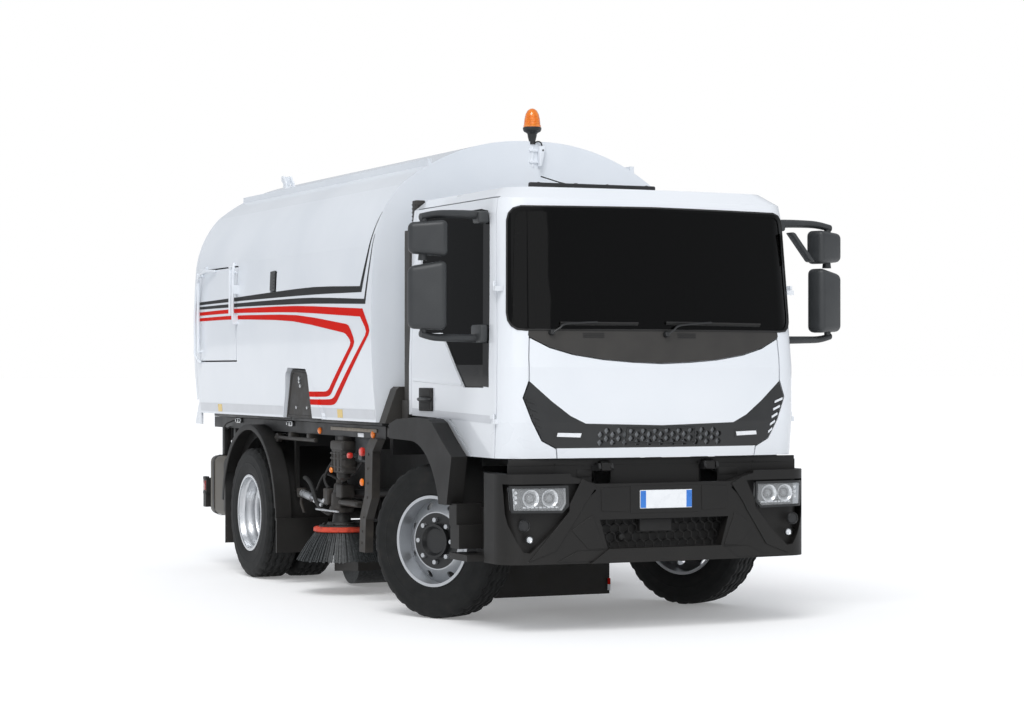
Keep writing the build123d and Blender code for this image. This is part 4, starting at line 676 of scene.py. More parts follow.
for side, name in SIDES:
    body = f"side_brush_{name}"
    centre = Vector((side * BRUSH_X, at(BRUSH_BACK), 0))
    mesh = bmesh.new()
    for row, (inner, outer, foot) in enumerate((
        (0.085, 0.20, 0.262), (0.125, 0.265, 0.252), (0.16, 0.318, 0.243), (0.178, 0.332, 0.242),
    )):
        count = (40, 64, 88, 96)[row]
        for k in range(count):
            angle = 2 * math.pi * (k + 0.37 * row) / count + random.uniform(-0.012, 0.012)
            out = Vector((math.cos(angle), math.sin(angle), 0))
            reach = outer - random.uniform(0.0, 0.02)
            tip = centre + out * reach + Vector((0, 0, foot + random.uniform(0, 0.012)))
            bristle(
                mesh, centre + out * inner + Vector((0, 0, 0.47)), tip, random.uniform(0.0045, 0.0075), out,
            )
    close(mesh, f"bristles_{name}", BRISTLE, body, 30, hides=[f"side_brush_{name}"])
    mesh = bmesh.new()
    lathe(
        mesh, centre, UP,
        [
            (0.452, 0.0), (0.452, 0.196), (0.458, 0.205), (0.478, 0.205), (0.486, 0.196), (0.49, 0.178),
            (0.478, 0.172), (0.478, 0.0),
        ],
        48,
    )
    close(mesh, f"bristle_ring_{name}", RING_RED, body, 30)
    mesh = bmesh.new()
    lathe(
        mesh, centre, UP,
        [
            (0.48, 0.0), (0.48, 0.17), (0.497, 0.165), (0.503, 0.11), (0.52, 0.1), (0.52, 0.07),
            (0.58, 0.06), (0.58, 0.0),
        ],
        40,
    )
    for k in range(8):
        angle = math.pi * k / 4
        lathe(
            mesh, centre + Vector((0.14 * math.cos(angle), 0.14 * math.sin(angle), 0)), UP,
            [(0.498, 0.0), (0.498, 0.011), (0.51, 0.011), (0.512, 0.0)], 6,
        )
    close(mesh, f"brush_plate_{name}", CHASSIS_ENAMEL, body, 30)

mesh = bmesh.new()
for k in range(56):
    angle = 2 * math.pi * k / 56
    for j in range(40):
        x = -0.70 + 1.40 * j / 39 + random.uniform(-0.008, 0.008)
        twist = angle + 0.5 * math.sin(j / 39 * math.pi * 2) + random.uniform(-0.02, 0.02)
        out = Vector((0, math.cos(twist), math.sin(twist)))
        root = Vector((x, at(ROLLER_BACK), ROLLER_Z)) + out * 0.09
        bristle(mesh, root, root + out * (0.13 - random.uniform(0, 0.008)), 0.006, (1, 0, 0))
lathe(
    mesh, (-0.72, at(ROLLER_BACK), ROLLER_Z), (1, 0, 0), [(0, 0), (0, 0.095), (1.44, 0.095), (1.44, 0)], 32,
)
close(mesh, "roller_bristles", BRISTLE, "roller", 30)

# ---- Hopper side films and fittings -------------------------------------------------------


def hopper_x(z):
    """Half width of the hopper's outside at a height."""
    if z < 1.354:
        return 1.178 - (1.354 - z) / 0.088 * 0.006
    if z < 2.474:
        return -4.8889 + math.sqrt(6.09791 ** 2 - (z - 1.96821) ** 2)
    return 0.44632 + math.sqrt(max(0.0, 0.74761 ** 2 - (z - 2.38004) ** 2))


def on_hopper(side, lift):
    """One side of the hopper as a surface over (back, z), at a lift."""
    return lambda back, z: Vector((side * (hopper_x(z) + lift), at(back), z))


def skin(mesh, place, top, low, steps=8, rungs=6, back=None):
    """A sheet between an upper and a lower line of (u, z), laid on the surface that place(u, z) gives."""
    rows = []
    for (a, b), (c, d) in zip(zip(top, top[1:]), zip(low, low[1:])):
        for k in range(steps + (b is top[-1])):
            t = k / steps
            up = (a[0] + (b[0] - a[0]) * t, a[1] + (b[1] - a[1]) * t)
            down = (c[0] + (d[0] - c[0]) * t, c[1] + (d[1] - c[1]) * t)
            rows.append([
                place(up[0] + (down[0] - up[0]) * j / rungs, up[1] + (down[1] - up[1]) * j / rungs)
                for j in range(rungs + 1)
            ])
    sheet(mesh, rows, back)


def eased(line):
    """The same line with its bends eased: gentle ones over a long reach, sharp ones over a short one."""
    out = [line[0]]
    for a, b, c in zip(line, line[1:], line[2:]):
        before, after = Vector(b) - Vector(a), Vector(c) - Vector(b)
        reach = 0.40 if before.angle(after) < math.radians(15) else 0.05
        near = Vector(b) - before.normalized() * min(reach, before.length * 0.35)
        far = Vector(b) + after.normalized() * min(reach, after.length * 0.35)
        out += [tuple(near), tuple((near + Vector(b) * 2 + far) / 4), tuple(far)]
    return out + [line[-1]]


def film(mesh, side, top, low, steps=8, lift=0.0012):
    """A strip of film on the hopper's side between an upper and a lower line of (back, z)."""
    skin(mesh, on_hopper(side, lift), eased(top), eased(low), steps)


COLLAR = 1.1912


def collar_edge(z):
    """Where the collar in front of the recess begins, as a distance back."""
    return 3.043 + max(z - 1.30, 0.0) + min(z - 1.30, 0.0) * 0.3


def on_collar(side, back, z, lift=0.0):
    """A point on the collar in front of the recess, or on the short ramp that leads up to it."""
    t = min(1.0, max(0.0, (back - collar_edge(z) + 0.03) / 0.03))
    return Vector((side * ((hopper_x(z) + 0.0014) * (1 - t) + COLLAR * t + lift), at(back), z))


def collar_film(mesh, side, top, low):
    """A strip of film over the collar in front of the recess."""
    skin(mesh, lambda back, z: on_collar(side, back, z), top, low, 30, 2)


HATCH_ENDS = (5.032, 6.008)


def part_at_hatch(mesh, inside):
    """Cuts a film along the hatch's two ends and keeps the length inside or outside them."""
    for back in HATCH_ENDS:
        everything = mesh.verts[:] + mesh.edges[:] + mesh.faces[:]
        bmesh.ops.bisect_plane(mesh, geom=everything, plane_co=(0, at(back), 0), plane_no=(0, 1, 0))
    low, high = (at(back) for back in HATCH_ENDS)
    spare = [face for face in mesh.faces if (low < face.calc_center_median().y < high) != inside]
    bmesh.ops.delete(mesh, geom=spare, context="FACES")


STRIPES = {
    "black": (
        # Upper band with its tail up the front edge.
        ([(6.10, 2.184), (5.138, 2.197), (4.173, 2.214), (3.168, 2.227), (2.225, 2.2)],
         [(6.10, 2.160), (5.138, 2.168), (4.173, 2.170), (3.168, 2.170), (2.19, 2.158)]),
        ([(2.225, 2.2), (2.085, 2.478), (2.012, 2.70)], [(2.19, 2.158), (2.063, 2.478), (2.006, 2.70)]),
        # Lower band.
        ([(6.10, 2.146), (5.134, 2.151), (4.122, 2.154), (3.202, 2.15), (2.135, 2.110)],
         [(6.10, 2.124), (5.134, 2.124), (4.122, 2.116), (3.202, 2.105), (2.112, 2.075)]),
        ([(2.135, 2.110), (2.060, 2.36), (2.012, 2.55)], [(2.112, 2.075), (2.042, 2.36), (2.006, 2.55)]),
    ),
    "red": (
        ([(6.10, 2.100), (5.131, 2.110), (3.582, 2.100), (2.165, 2.045)],
         [(6.10, 2.072), (5.131, 2.078), (3.582, 2.052), (2.21, 1.990)]),
        ([(2.165, 2.045), (2.01, 1.889), (2.700, 1.428), (2.775, 1.385), (2.86, 1.370), (3.289, 1.370)],
         [(2.21, 1.990), (2.075, 1.885), (2.735, 1.470), (2.800, 1.430), (2.87, 1.412), (3.303, 1.410)]),
        ([(6.10, 2.052), (5.1, 2.058), (3.536, 2.034), (2.434, 1.940), (2.31, 1.815), (2.80, 1.492),
          (2.860, 1.448), (2.94, 1.430), (3.309, 1.428)],
         [(6.10, 2.026), (5.1, 2.028), (3.62, 1.990), (2.50, 1.880), (2.385, 1.815), (2.84, 1.524),
          (2.895, 1.486), (2.96, 1.468), (3.322, 1.466)]),
    ),
}
for side, name in SIDES:
    for colour, strips in STRIPES.items():
        # On the right the bands run over the hatch, so that length of them rides on it.
        for body, where in (("hopper", name), ("hatch", "hatch")) if side < 0 else (("hopper", name),):
            mesh = bmesh.new()
            for top, low in strips:
                film(mesh, side, top, low)
            if colour == "red" and body == "hopper":
                collar_film(mesh, side, [(3.078, 1.370), (3.289, 1.370)], [(3.118, 1.410), (3.303, 1.410)])
                collar_film(mesh, side, [(3.136, 1.428), (3.309, 1.428)], [(3.174, 1.466), (3.322, 1.466)])
            if side < 0:
                part_at_hatch(mesh, body == "hatch")
            close(
                mesh, f"stripes_{colour}_{where}", RED_FILM if colour == "red" else BLACK_FILM, body,
                60,
            )
    mesh = bmesh.new()
    for start, end in ((2.01, 3.004), (3.95, 6.10)):
        film(mesh, side, [(start, 1.352), (end, 1.352)], [(start, 1.285), (end, 1.285)], 12)
    film(mesh, side, [(3.00, 1.352), (3.066, 1.352)], [(3.00, 1.285), (3.010, 1.285)], 2)
    collar_film(mesh, side, [(3.042, 1.352), (3.280, 1.352)], [(2.988, 1.285), (3.258, 1.285)])
    close(mesh, f"rail_band_{name}", GREY_FILM, "hopper", 60)
    mesh = bmesh.new()
    for middle in (2.70, 5.55):
        film(
            mesh, side, [(middle - 0.055, 1.345), (middle + 0.055, 1.345)],
            [(middle - 0.055, 1.285), (middle + 0.055, 1.285)], 2, 0.0022,
        )
    close(mesh, f"side_reflectors_{name}", YELLOW_FILM, "hopper", 60)

# Hatch grab rails, latch and the dark inspection cover.
mesh = bmesh.new()
front_rail = placed(
    -1,
    [
        (1.230, 5.00, 2.47), (1.244, 4.985, 2.42), (1.246, 4.988, 2.30), (1.246, 4.995, 2.10),
        (1.236, 5.005, 2.04), (1.212, 5.010, 2.03),
    ],
)
tube(mesh, curve_through(front_rail), 0.011, 10)
for z in (2.26, 2.02):
    brick(mesh, (-1.252, at(4.975), z - 0.035), (-1.20, at(5.01), z + 0.035))
back_rail = placed(
    -1,
    [
        (1.20, 5.60, 2.43), (1.24, 5.80, 2.43), (1.246, 5.95, 2.36), (1.246, 6.03, 2.10),
        (1.246, 6.03, 1.84), (1.246, 6.02, 1.74), (1.21, 5.98, 1.68),
    ],
)
tube(mesh, curve_through(back_rail), 0.011, 10)
close(mesh, "hatch_grab_rails", HOPPER_ENAMEL, "hopper", 30, 0.004)

mesh = bmesh.new()
skin(
    mesh, on_hopper(-1, 0.008),
    [(4.062, 2.376), (4.180, 2.372)], [(4.056, 2.226), (4.173, 2.224)], 3, 6, (0.012, 0, 0),
)
for k in range(5):
    z = 2.240 + 0.025 * k
    skin(
        mesh, on_hopper(-1, 0.0105),
        [(4.078, z + 0.010), (4.156, z + 0.010)], [(4.078, z), (4.156, z)], 2, 1, (0.006, 0, 0),
    )
close(mesh, "inspection_cover", GRILLE_ABS, "hopper", 30, 0.002)

# ---- Front of the cab ---------------------------------------------------------------------

mesh = bmesh.new()
brick(mesh, (-0.182, at(0.0012), 0.763), (0.182, at(0.010), 0.877))
close(mesh, "plate_board", PLATE_FILM, "chassis", 30, 0.003)
mesh = bmesh.new()
for low, high in ((-0.180, -0.142), (0.142, 0.180)):
    brick(mesh, (low, at(0.0004), 0.767), (high, at(0.002), 0.873))
close(mesh, "plate_side_bands", BLUE_FILM, "chassis", 30)

# Height, nose's distance back, half width and bow of the nose at each level of the cab.
CAB_LEVELS = (
    (1.078, 0.084, 1.046, 0.060), (1.30, 0.054, 1.05, 0.068), (1.64, 0.054, 1.05, 0.068),
    (2.60, 0.150, 1.022, 0.060), (2.69, 0.166, 1.010, 0.058), (2.764, 0.262, 0.915, 0.050),
)
CAB_CORNER = 0.165


def cab_level(z):
    """The cab's nose, half width and bow at a height, between the levels below and above it."""
    for low, high in zip(CAB_LEVELS, CAB_LEVELS[1:]):
        if z <= high[0]:
            break
    t = (z - low[0]) / (high[0] - low[0])
    return tuple(low[k] + (high[k] - low[k]) * t for k in (1, 2, 3))


def cab_front(x, z, lift=0.0):
    """A point on the cab's front at a width and height, lifted forward."""
    nose, half, bow = cab_level(z)
    flat = half - CAB_CORNER
    if abs(x) <= flat:
        back = nose + bow * (x / flat) ** 2
    else:
        beyond = min(abs(x) - flat, CAB_CORNER)
        back = nose + bow + CAB_CORNER - math.sqrt(CAB_CORNER ** 2 - beyond ** 2)
    return Vector((x, at(back - lift), z))


def on_cab(side, lift):
    """One half of the cab's front as a surface over (x, z), at a lift."""
    return lambda x, z: cab_front(side * x, z, lift)


BUMPER_FLAT, BUMPER_CORNER = 0.93, 0.15


def bumper_front(x, z, lift=0.0):
    """A point on the bumper's front at a width and height, lifted forward."""
    if abs(x) <= BUMPER_FLAT:
        back = 0.008 + 0.054 * (x / BUMPER_FLAT) ** 2
    else:
        back = 0.212 - math.sqrt(max(0.0, BUMPER_CORNER ** 2 - (abs(x) - BUMPER_FLAT) ** 2))
    return Vector((x, at(back - lift), z))


def rounded(mesh, low, high, round_by, segments=4, shape=None):
    """A box with rounded edges; shape moves each corner before the edges are rounded."""
    own = bmesh.new()
    brick(own, low, high)
    if shape:
        for corner in own.verts:
            corner.co = shape(corner.co.copy())
    bmesh.ops.bevel(
        own, geom=list(own.edges) + list(own.verts), offset=round_by, segments=segments, profile=0.5,
        affect="EDGES", clamp_overlap=True,
    )
    data = bpy.data.meshes.new("spare")
    own.to_mesh(data)
    own.free()
    mesh.from_mesh(data)
    bpy.data.meshes.remove(data)


def beside(mesh, side, across, along, heights, round_by, segments, shape=None):
    """A rounded box on one side of the truck: spans out from the middle, back from the front, and up."""
    inner, outer = sorted(side * x for x in across)
    low, high = (inner, at(along[0]), heights[0]), (outer, at(along[1]), heights[1])
    rounded(mesh, low, high, round_by, segments, shape)


# ---- Headlamps ----------------------------------------------------------------------------

# Upper and lower edges of the lamp as (x, z), and the distances of its two projectors from the middle.
LAMP_TOP = [(0.672, 0.902), (0.80, 0.902), (0.93, 0.902), (1.02, 0.902)]
LAMP_LOW = [(0.668, 0.800), (0.70, 0.758), (0.93, 0.761), (1.010, 0.762)]
PROJECTORS = (0.895, 0.772)


def inset(line, dx, dz):
    """A lamp line pulled in at its ends and moved up or down."""
    out = [(x, z + dz) for x, z in line]
    out[0] = (out[0][0] + dx, out[0][1])
    out[-1] = (out[-1][0] - dx, out[-1][1])
    return out


def bumper_place(side, lift):
    """One half of the bumper's front as a surface over (x, z), at a lift."""
    return lambda x, z: bumper_front(side * x, z, lift)


for side, name in SIDES:
    mesh = bmesh.new()
    skin(mesh, bumper_place(side, -0.052), LAMP_TOP, LAMP_LOW, 6, 4)
    for top, low in ((LAMP_TOP, inset(LAMP_TOP, 0, -0.004)), (inset(LAMP_LOW, 0, 0.004), LAMP_LOW)):
        rows = []
        for lift in (-0.052, -0.03, -0.006):
            rows.append([bumper_front(side * x, z, lift) for x, z in (top if top is LAMP_TOP else low)])
        sheet(mesh, rows)
    for end in (0, -1):
        sheet(
            mesh,
            [
                [bumper_front(side * p[0], p[1], lift) for p in (LAMP_TOP[end], LAMP_LOW[end])]
                for lift in (-0.052, -0.006)
            ],
        )
    # Row of small light blocks along the foot and three at the outer end.
    for k in range(9):
        x = 0.725 + 0.026 * k
        rounded(
            mesh, bumper_front(side * x, 0.776, -0.040) - Vector((0.009, 0, 0)),
            bumper_front(side * x, 0.786, -0.022) + Vector((0.009, 0, 0)), 0.002, 2,
        )
    for z in (0.812, 0.842, 0.872):
        lathe(
            mesh, bumper_front(side * 0.985, z, -0.045), AHEAD,
            [(0, 0.0), (0, 0.011), (0.014, 0.012), (0.018, 0.009), (0.012, 0.0)], 16,
        )
    # Chrome bowls round the two projectors.
    for x in PROJECTORS:
        middle = bumper_front(side * x, 0.836, -0.045)
        lathe(
            mesh, middle, AHEAD,
            [(0.0, 0.030), (0.012, 0.036), (0.026, 0.052), (0.030, 0.056), (0.033, 0.054), (0.030, 0.050)],
            32,
        )
    close(mesh, f"lamp_bowls_{name}", REFLECTOR, "chassis", 35, 0.001, hides=["headlamps"])
    mesh = bmesh.new()
    for x in PROJECTORS:
        middle = bumper_front(side * x, 0.836, -0.045)
        lathe(
            mesh, middle, AHEAD,
            [(0.0, 0.029), (0.022, 0.029), (0.024, 0.026), (0.020, 0.024), (0.004, 0.024)], 32,
        )
    # Black bezel round the cover.
    for top, low in (
        (inset(LAMP_TOP, -0.012, 0.012), inset(LAMP_TOP, 0.004, -0.003)),
        (inset(LAMP_LOW, 0.004, 0.003), inset(LAMP_LOW, -0.012, -0.012)),
    ):
        skin(mesh, bumper_place(side, 0.0022), top, low, 6, 1, (0, 0.012, 0))
    for end, way in ((0, 1), (-1, -1)):
        a, b = LAMP_TOP[end], LAMP_LOW[end]
        skin(
            mesh, bumper_place(side, 0.0022),
            [(a[0] - way * 0.012, a[1] + 0.008), (a[0] + way * 0.004, a[1])],
            [(b[0] - way * 0.012, b[1] - 0.008), (b[0] + way * 0.004, b[1])], 2, 6, (0, 0.012, 0),
        )
    close(mesh, f"lamp_bezel_{name}", GRILLE_ABS, "chassis", 35)
    mesh = bmesh.new()
    for x in PROJECTORS:
        middle = bumper_front(side * x, 0.836, -0.041)
        lathe(
            mesh, middle, AHEAD,
            [(0.0, 0.0), (0.0, 0.024), (0.009, 0.0235), (0.016, 0.018), (0.020, 0.009), (0.0212, 0.0)], 32,
        )
    skin(
        mesh, bumper_place(side, -0.002), inset(LAMP_TOP, 0.001, -0.001), inset(LAMP_LOW, 0.001, 0.001), 8,
        6, (0, 0.003, 0),
    )
    close(mesh, f"lamp_cover_{name}", CLEAR_PC, "chassis", 35)
    # Round blank cover and fog lamp below.
    mesh = bmesh.new()
    middle = bumper_front(side * 0.946, 0.672, -0.004)
    lathe(
        mesh, middle, AHEAD,
        [(0.0, 0.038), (0.010, 0.038), (0.014, 0.035), (0.010, 0.031), (0.006, 0.030), (0.006, 0.0)], 32,
    )
    middle = bumper_front(side * 0.912, 0.586, -0.004)
    lathe(
        mesh, middle, AHEAD, [(0.0, 0.026), (0.010, 0.026), (0.014, 0.023), (0.010, 0.019), (0.0, 0.019)],
        32,
    )
    close(mesh, f"fog_lamp_rings_{name}", GRILLE_ABS, "chassis", 35)
    mesh = bmesh.new()
    lathe(
        mesh, middle, AHEAD,
        [(0.001, 0.0), (0.002, 0.008), (0.006, 0.016), (0.009, 0.0185), (0.004, 0.0188)], 28,
    )
    close(mesh, f"fog_lamp_bowl_{name}", REFLECTOR, "chassis", 35)
    mesh = bmesh.new()
    lathe(mesh, middle, AHEAD, [(0.011, 0.0), (0.0105, 0.010), (0.009, 0.0186)], 28)
    close(mesh, f"fog_lamp_glass_{name}", CLEAR_PC, "chassis", 35)

# ---- Nose trim ----------------------------------------------------------------------------

mesh = bmesh.new()
for side, name in SIDES:
    skin(
        mesh, on_cab(side, 0.004), [(0.545, 1.232), (0.70, 1.236)], [(0.552, 1.206), (0.706, 1.212)], 6, 3,
        (0, 0.006, 0),
    )
close(mesh, "grille_marker_lamps", PLATE_FILM, "front_hood", 35, 0.001)
mesh = bmesh.new()
for side, name in SIDES:
    skin(
        mesh, on_cab(side, 0.002), [(0.53, 1.243), (0.715, 1.247)], [(0.538, 1.196), (0.722, 1.202)], 6, 3,
        (0, 0.006, 0),
    )
# Thin rectangle framed inside the mesh.
for (ax, az), (bx, bz) in (
    ((-0.24, 1.262), (0.24, 1.262)), ((-0.24, 1.168), (0.24, 1.168)), ((-0.24, 1.168), (-0.24, 1.262)),
    ((0.24, 1.168), (0.24, 1.262)),
):
    tube(
        mesh, [cab_front(ax + (bx - ax) * k / 6, az + (bz - az) * k / 6, -0.001) for k in range(7)], 0.006,
        8,
    )
close(mesh, "grille_marker_bezels", GRILLE_ABS, "front_hood", 35)

# Louvres in the corners of the grille, black plastic: the left ones are in cab enamel as painted highlight
# on their lit edges, the right ones in black plastic.
for side, name in SIDES:
    mesh = bmesh.new()
    for k in range(5):
        z = 1.435 - 0.048 * k
        inner, outer = 0.845 - 0.012 * k, 0.905 - 0.020 * k
        skin(
            mesh, on_cab(side, 0.006), [(inner, z - 0.010), (outer, z + 0.012)],
            [(inner, z - 0.024), (outer, z - 0.002)], 4, 2, (0, 0.010, 0),
        )
    # Cab enamel on the left louvres is painted highlight.
    close(
        mesh, f"corner_louvres_{name}", CAB_ENAMEL if side > 0 else GRILLE_ABS, "front_hood",
        35,
    )

# Edge of the screen and of the print round it, on the right half; the rubber seal runs along the print.
GLASS_RIGHT = [
    (0.880, 1.872), (0.930, 1.880), (0.962, 1.900), (0.980, 1.932), (0.984, 1.975), (0.950, 2.550),
    (0.940, 2.588), (0.915, 2.612), (0.880, 2.622),
]
PRINT_RIGHT = [
    (0.900, 1.870), (0.948, 1.875), (0.977, 1.896), (0.993, 1.930), (0.997, 1.975), (0.975, 2.545),
    (0.965, 2.590), (0.940, 2.620), (0.895, 2.634),
]
seal = [(0.0, 1.872)] + PRINT_RIGHT + [(0.0, 2.642)] + [
    (-x, z)
    for x, z in reversed(PRINT_RIGHT)
] + [(0.0, 1.872)]
mesh = bmesh.new()
line = []
for (ax, az), (bx, bz) in zip(seal, seal[1:]):
    count = max(1, int(math.hypot(bx - ax, bz - az) / 0.05))
    line += [
        cab_front(ax + (bx - ax) * k / count, az + (bz - az) * k / count, -0.001)
        for k in range(count)
    ]
tube(mesh, line + [line[0]], 0.0065, 8, ends=False)
close(mesh, "windscreen_seal", RUBBER, "cab", 40)

# Wipers: arm, pivot and blade, each lying on the glass.
WIPERS = (
    ((-0.735, 1.855), (-0.655, 1.905), (-0.44, 1.915), (-0.16, 1.915)),
    ((0.035, 1.845), (0.12, 1.900), (0.36, 1.918), (0.74, 1.915)),
)
for k, points in enumerate(WIPERS):
    (px, pz), (ex, ez), (mx, mz), (tx, tz) = points
    mesh = bmesh.new()
    tube(
        mesh,
        curve_through([
            cab_front(px, pz, 0.026), cab_front((px + ex) / 2, (pz + ez) / 2, 0.030),
            cab_front(ex, ez, 0.026), cab_front((ex + mx) / 2, (ez + mz) / 2 + 0.004, 0.022),
            cab_front(mx, mz + 0.004, 0.018),
        ]),
        0.007, 8,
    )
    lathe(
        mesh, cab_front(px, pz, -0.002), (0, -1, 0.1),
        [(0.0, 0.0), (0.0, 0.020), (0.020, 0.020), (0.030, 0.015), (0.036, 0.0)], 20,
    )
    close(mesh, f"wiper_arm_{k + 1}", GRILLE_ABS, "cab", 35)
    mesh = bmesh.new()
    start, end = (mx - (tx - mx) * 0.85, mz - (tz - mz)), (tx, tz)
    spine = [
        cab_front(start[0] + (end[0] - start[0]) * j / 14, start[1] + (end[1] - start[1]) * j / 14, 0.012)
        for j in range(15)
    ]
    tube(mesh, spine, 0.006, 8)
    wedge = [
        [p + Vector((0, dy, dz)) for p in spine]
        for dy, dz in ((0.0, -0.004), (0.007, -0.012), (0.011, -0.014))
    ]
    sheet(mesh, wedge, (0, 0, -0.003))
    close(mesh, f"wiper_blade_{k + 1}", RUBBER, "cab", 35)

# Slots in the cowl under the glass.
mesh = bmesh.new()
for left, right in ((-0.53, -0.39), (0.12, 0.25)):
    for k in range(3):
        z = 1.852 - 0.011 * k
        skin(
            mesh, on_cab(1, 0.003), [(left, z), (right, z)], [(left, z - 0.006), (right, z - 0.006)], 3, 1,
            (0, 0.004, 0),
        )
close(mesh, "cowl_slots", RUBBER, "cab", 35)

# ---- Beacon -------------------------------------------------------------------------------

mesh = bmesh.new()
lathe(
    mesh, (0, at(BEACON_BACK), 3.320), UP,
    [
        (0.0, 0.0), (0.0, 0.060), (0.014, 0.062), (0.018, 0.058), (0.060, 0.054), (0.095, 0.046),
        (0.120, 0.032), (0.132, 0.015), (0.135, 0.0),
    ],
    40,
)
for z in (0.028, 0.040, 0.052, 0.064, 0.076):
    lathe(
        mesh, (0, at(BEACON_BACK), 3.320), UP,
        [(z - 0.003, 0.050), (z, 0.0585 - max(0, z - 0.04) * 0.15), (z + 0.003, 0.050)], 40,
    )
close(mesh, "beacon_dome", AMBER_LENS, "hopper", 35, hides=["beacon"])
mesh = bmesh.new()
lathe(
    mesh, (0, at(BEACON_BACK), 3.272), UP,
    [
        (0.0, 0.020), (0.004, 0.034), (0.010, 0.040), (0.020, 0.058), (0.030, 0.064), (0.046, 0.066),
        (0.052, 0.060), (0.050, 0.0),
    ],
    36,
)
lathe(
    mesh, (0, at(BEACON_BACK), 3.276), UP,
    [(0.0, 0.0), (0.0, 0.034), (-0.024, 0.030), (-0.050, 0.023), (-0.074, 0.023), (-0.074, 0.0)], 28,
)
close(mesh, "beacon_base", GRILLE_ABS, "hopper", 35)
mesh = bmesh.new()
lathe(mesh, (0, at(BEACON_BACK), 3.205), UP, [(0.0, 0.0), (0.0, 0.015), (-0.16, 0.015), (-0.16, 0.0)], 20)
rounded(
    mesh, (0.034, at(1.958), 3.045), (0.084, at(1.998), 3.190), 0.006, 3,
    lambda p: p + Vector((-0.03 if p.z < 3.1 and p.x > 0.06 else 0.0, 0, 0)),
)
rounded(mesh, (-0.028, at(1.990), 3.07), (0.060, at(2.035), 3.09), 0.004, 2)
rounded(mesh, (-0.028, at(1.990), 3.15), (0.074, at(2.035), 3.17), 0.004, 2)
close(mesh, "beacon_bracket", HOPPER_ENAMEL, "hopper", 35)
mesh = bmesh.new()
tube(
    mesh,
    curve_through([
        (0.012, at(1.995), 3.215), (0.035, at(1.985), 3.222), (0.055, at(1.980), 3.212),
        (0.062, at(1.978), 3.185),
    ]),
    0.005, 8,
)
lathe(mesh, (0.060, at(1.960), 3.16), AHEAD, [(0.0, 0.0), (0.0, 0.008), (0.004, 0.007), (0.005, 0.0)], 6)
close(mesh, "beacon_cable", RUBBER, "hopper", 35)

# ---- Mirrors ------------------------------------------------------------------------------

MIRROR_YAW = math.radians(22)
POST_X, POST_BACK = 1.45, 0.455


def turned_in(side, p):
    """A mirror head's point turned about its post, its outer edge rearward."""
    post = Vector((side * POST_X, at(POST_BACK), 0))
    return post + Matrix.Rotation(side * MIRROR_YAW, 3, "Z") @ (p - post)


def mirror_shape(side, inner, outer, foot, top, slant, taper):
    """Pulls a mirror head's corners in: a slanted top edge and a narrower, rounder outer end."""

    def move(p):
        share = (abs(p.x) - inner) / (outer - inner)
        p.z += taper * share if p.z < (foot + top) / 2 else -slant * share
        p.y = at(POST_BACK) + (p.y - at(POST_BACK)) * (1.0 - 0.22 * share)
        return turned_in(side, p)

    return move


for side, name in SIDES:
    body = f"door_{name}"
    mesh = bmesh.new()
    for inner, outer, low_z, high_z, slant, taper, round_by in (
        (1.300, 1.545, 2.322, 2.548, 0.016, 0.020, 0.036), (1.306, 1.547, 1.868, 2.300, 0.040, 0.010, 0.040)
    ):
        pulled = mirror_shape(side, inner, outer, low_z, high_z, slant, taper)
        beside(mesh, side, (inner, outer), (0.385, 0.528), (low_z, high_z), round_by, 5, pulled)
    # Neck between the heads.
    lathe(
        mesh, (side * POST_X, at(0.465), 2.30), UP,
        [(0, 0.0), (0, 0.03), (0.035, 0.026), (0.06, 0.03), (0.06, 0)], 24,
    )
    close(mesh, f"mirror_shells_{name}", MIRROR_ABS, body, 40, hides=[f"mirrors_{name}"])
    # Glass on the rear faces.
    mesh = bmesh.new()
    for inner, outer, low_z, high_z in ((1.330, 1.515, 2.362, 2.500), (1.334, 1.515, 1.915, 2.235)):
        beside(
            mesh, side, (inner, outer), (0.508, 0.5290), (low_z, high_z), 0.0025, 2,
            lambda p: turned_in(side, p),
        )
    close(mesh, f"mirror_glass_{name}", PLATED_STEEL, body, 40)
    mesh = bmesh.new()
    # Wing-like upper arm and the flatter lower one, each swept out of its shroud.
    for rise, points in (
        (
            0.030,
            [
                (1.026, 0.470, 2.584), (1.10, 0.466, 2.588), (1.22, 0.460, 2.590), (1.36, 0.456, 2.586),
                (1.470, 0.455, 2.566),
            ],
        ),
        (
            0.028,
            [
                (1.048, 0.470, 1.818), (1.12, 0.470, 1.820), (1.25, 0.462, 1.822), (1.38, 0.455, 1.826),
                (1.470, 0.455, 1.846),
            ],
        ),
    ):
        rows = []
        for k, point in enumerate(curve_through(placed(side, points), 4)):
            share = k / (4 * (len(points) - 1))
            wide, tall = 0.040 - 0.012 * share, rise * (1.0 - 0.25 * share)
            rows.append([
                point + Vector((0, wide * math.cos(t), tall * math.sin(t)))
                for t in (2 * math.pi * j / 14 for j in range(15))
            ])
        sheet(mesh, rows)
        for row in (rows[0], rows[-1]):
            mesh.faces.new([mesh.verts.new(p) for p in row[:-1]])
    for foot, low_z, high_z, depth in ((1.026, 2.536, 2.610, 0.052), (1.0465, 1.792, 1.905, 0.080)):
        beside(mesh, side, (foot, 1.10), (POST_BACK - depth, POST_BACK + depth), (low_z, high_z), 0.014, 3)
    lathe(
        mesh, (side * POST_X, at(POST_BACK), 1.84), UP, [(0, 0.0), (0, 0.022), (0.06, 0.022), (0.06, 0)], 20
    )
    lathe(
        mesh, (side * POST_X, at(POST_BACK), 2.50), UP, [(0, 0.0), (0, 0.024), (0.06, 0.022), (0.06, 0)], 20
    )
    close(mesh, f"mirror_arms_{name}", MIRROR_ABS, body, 40)

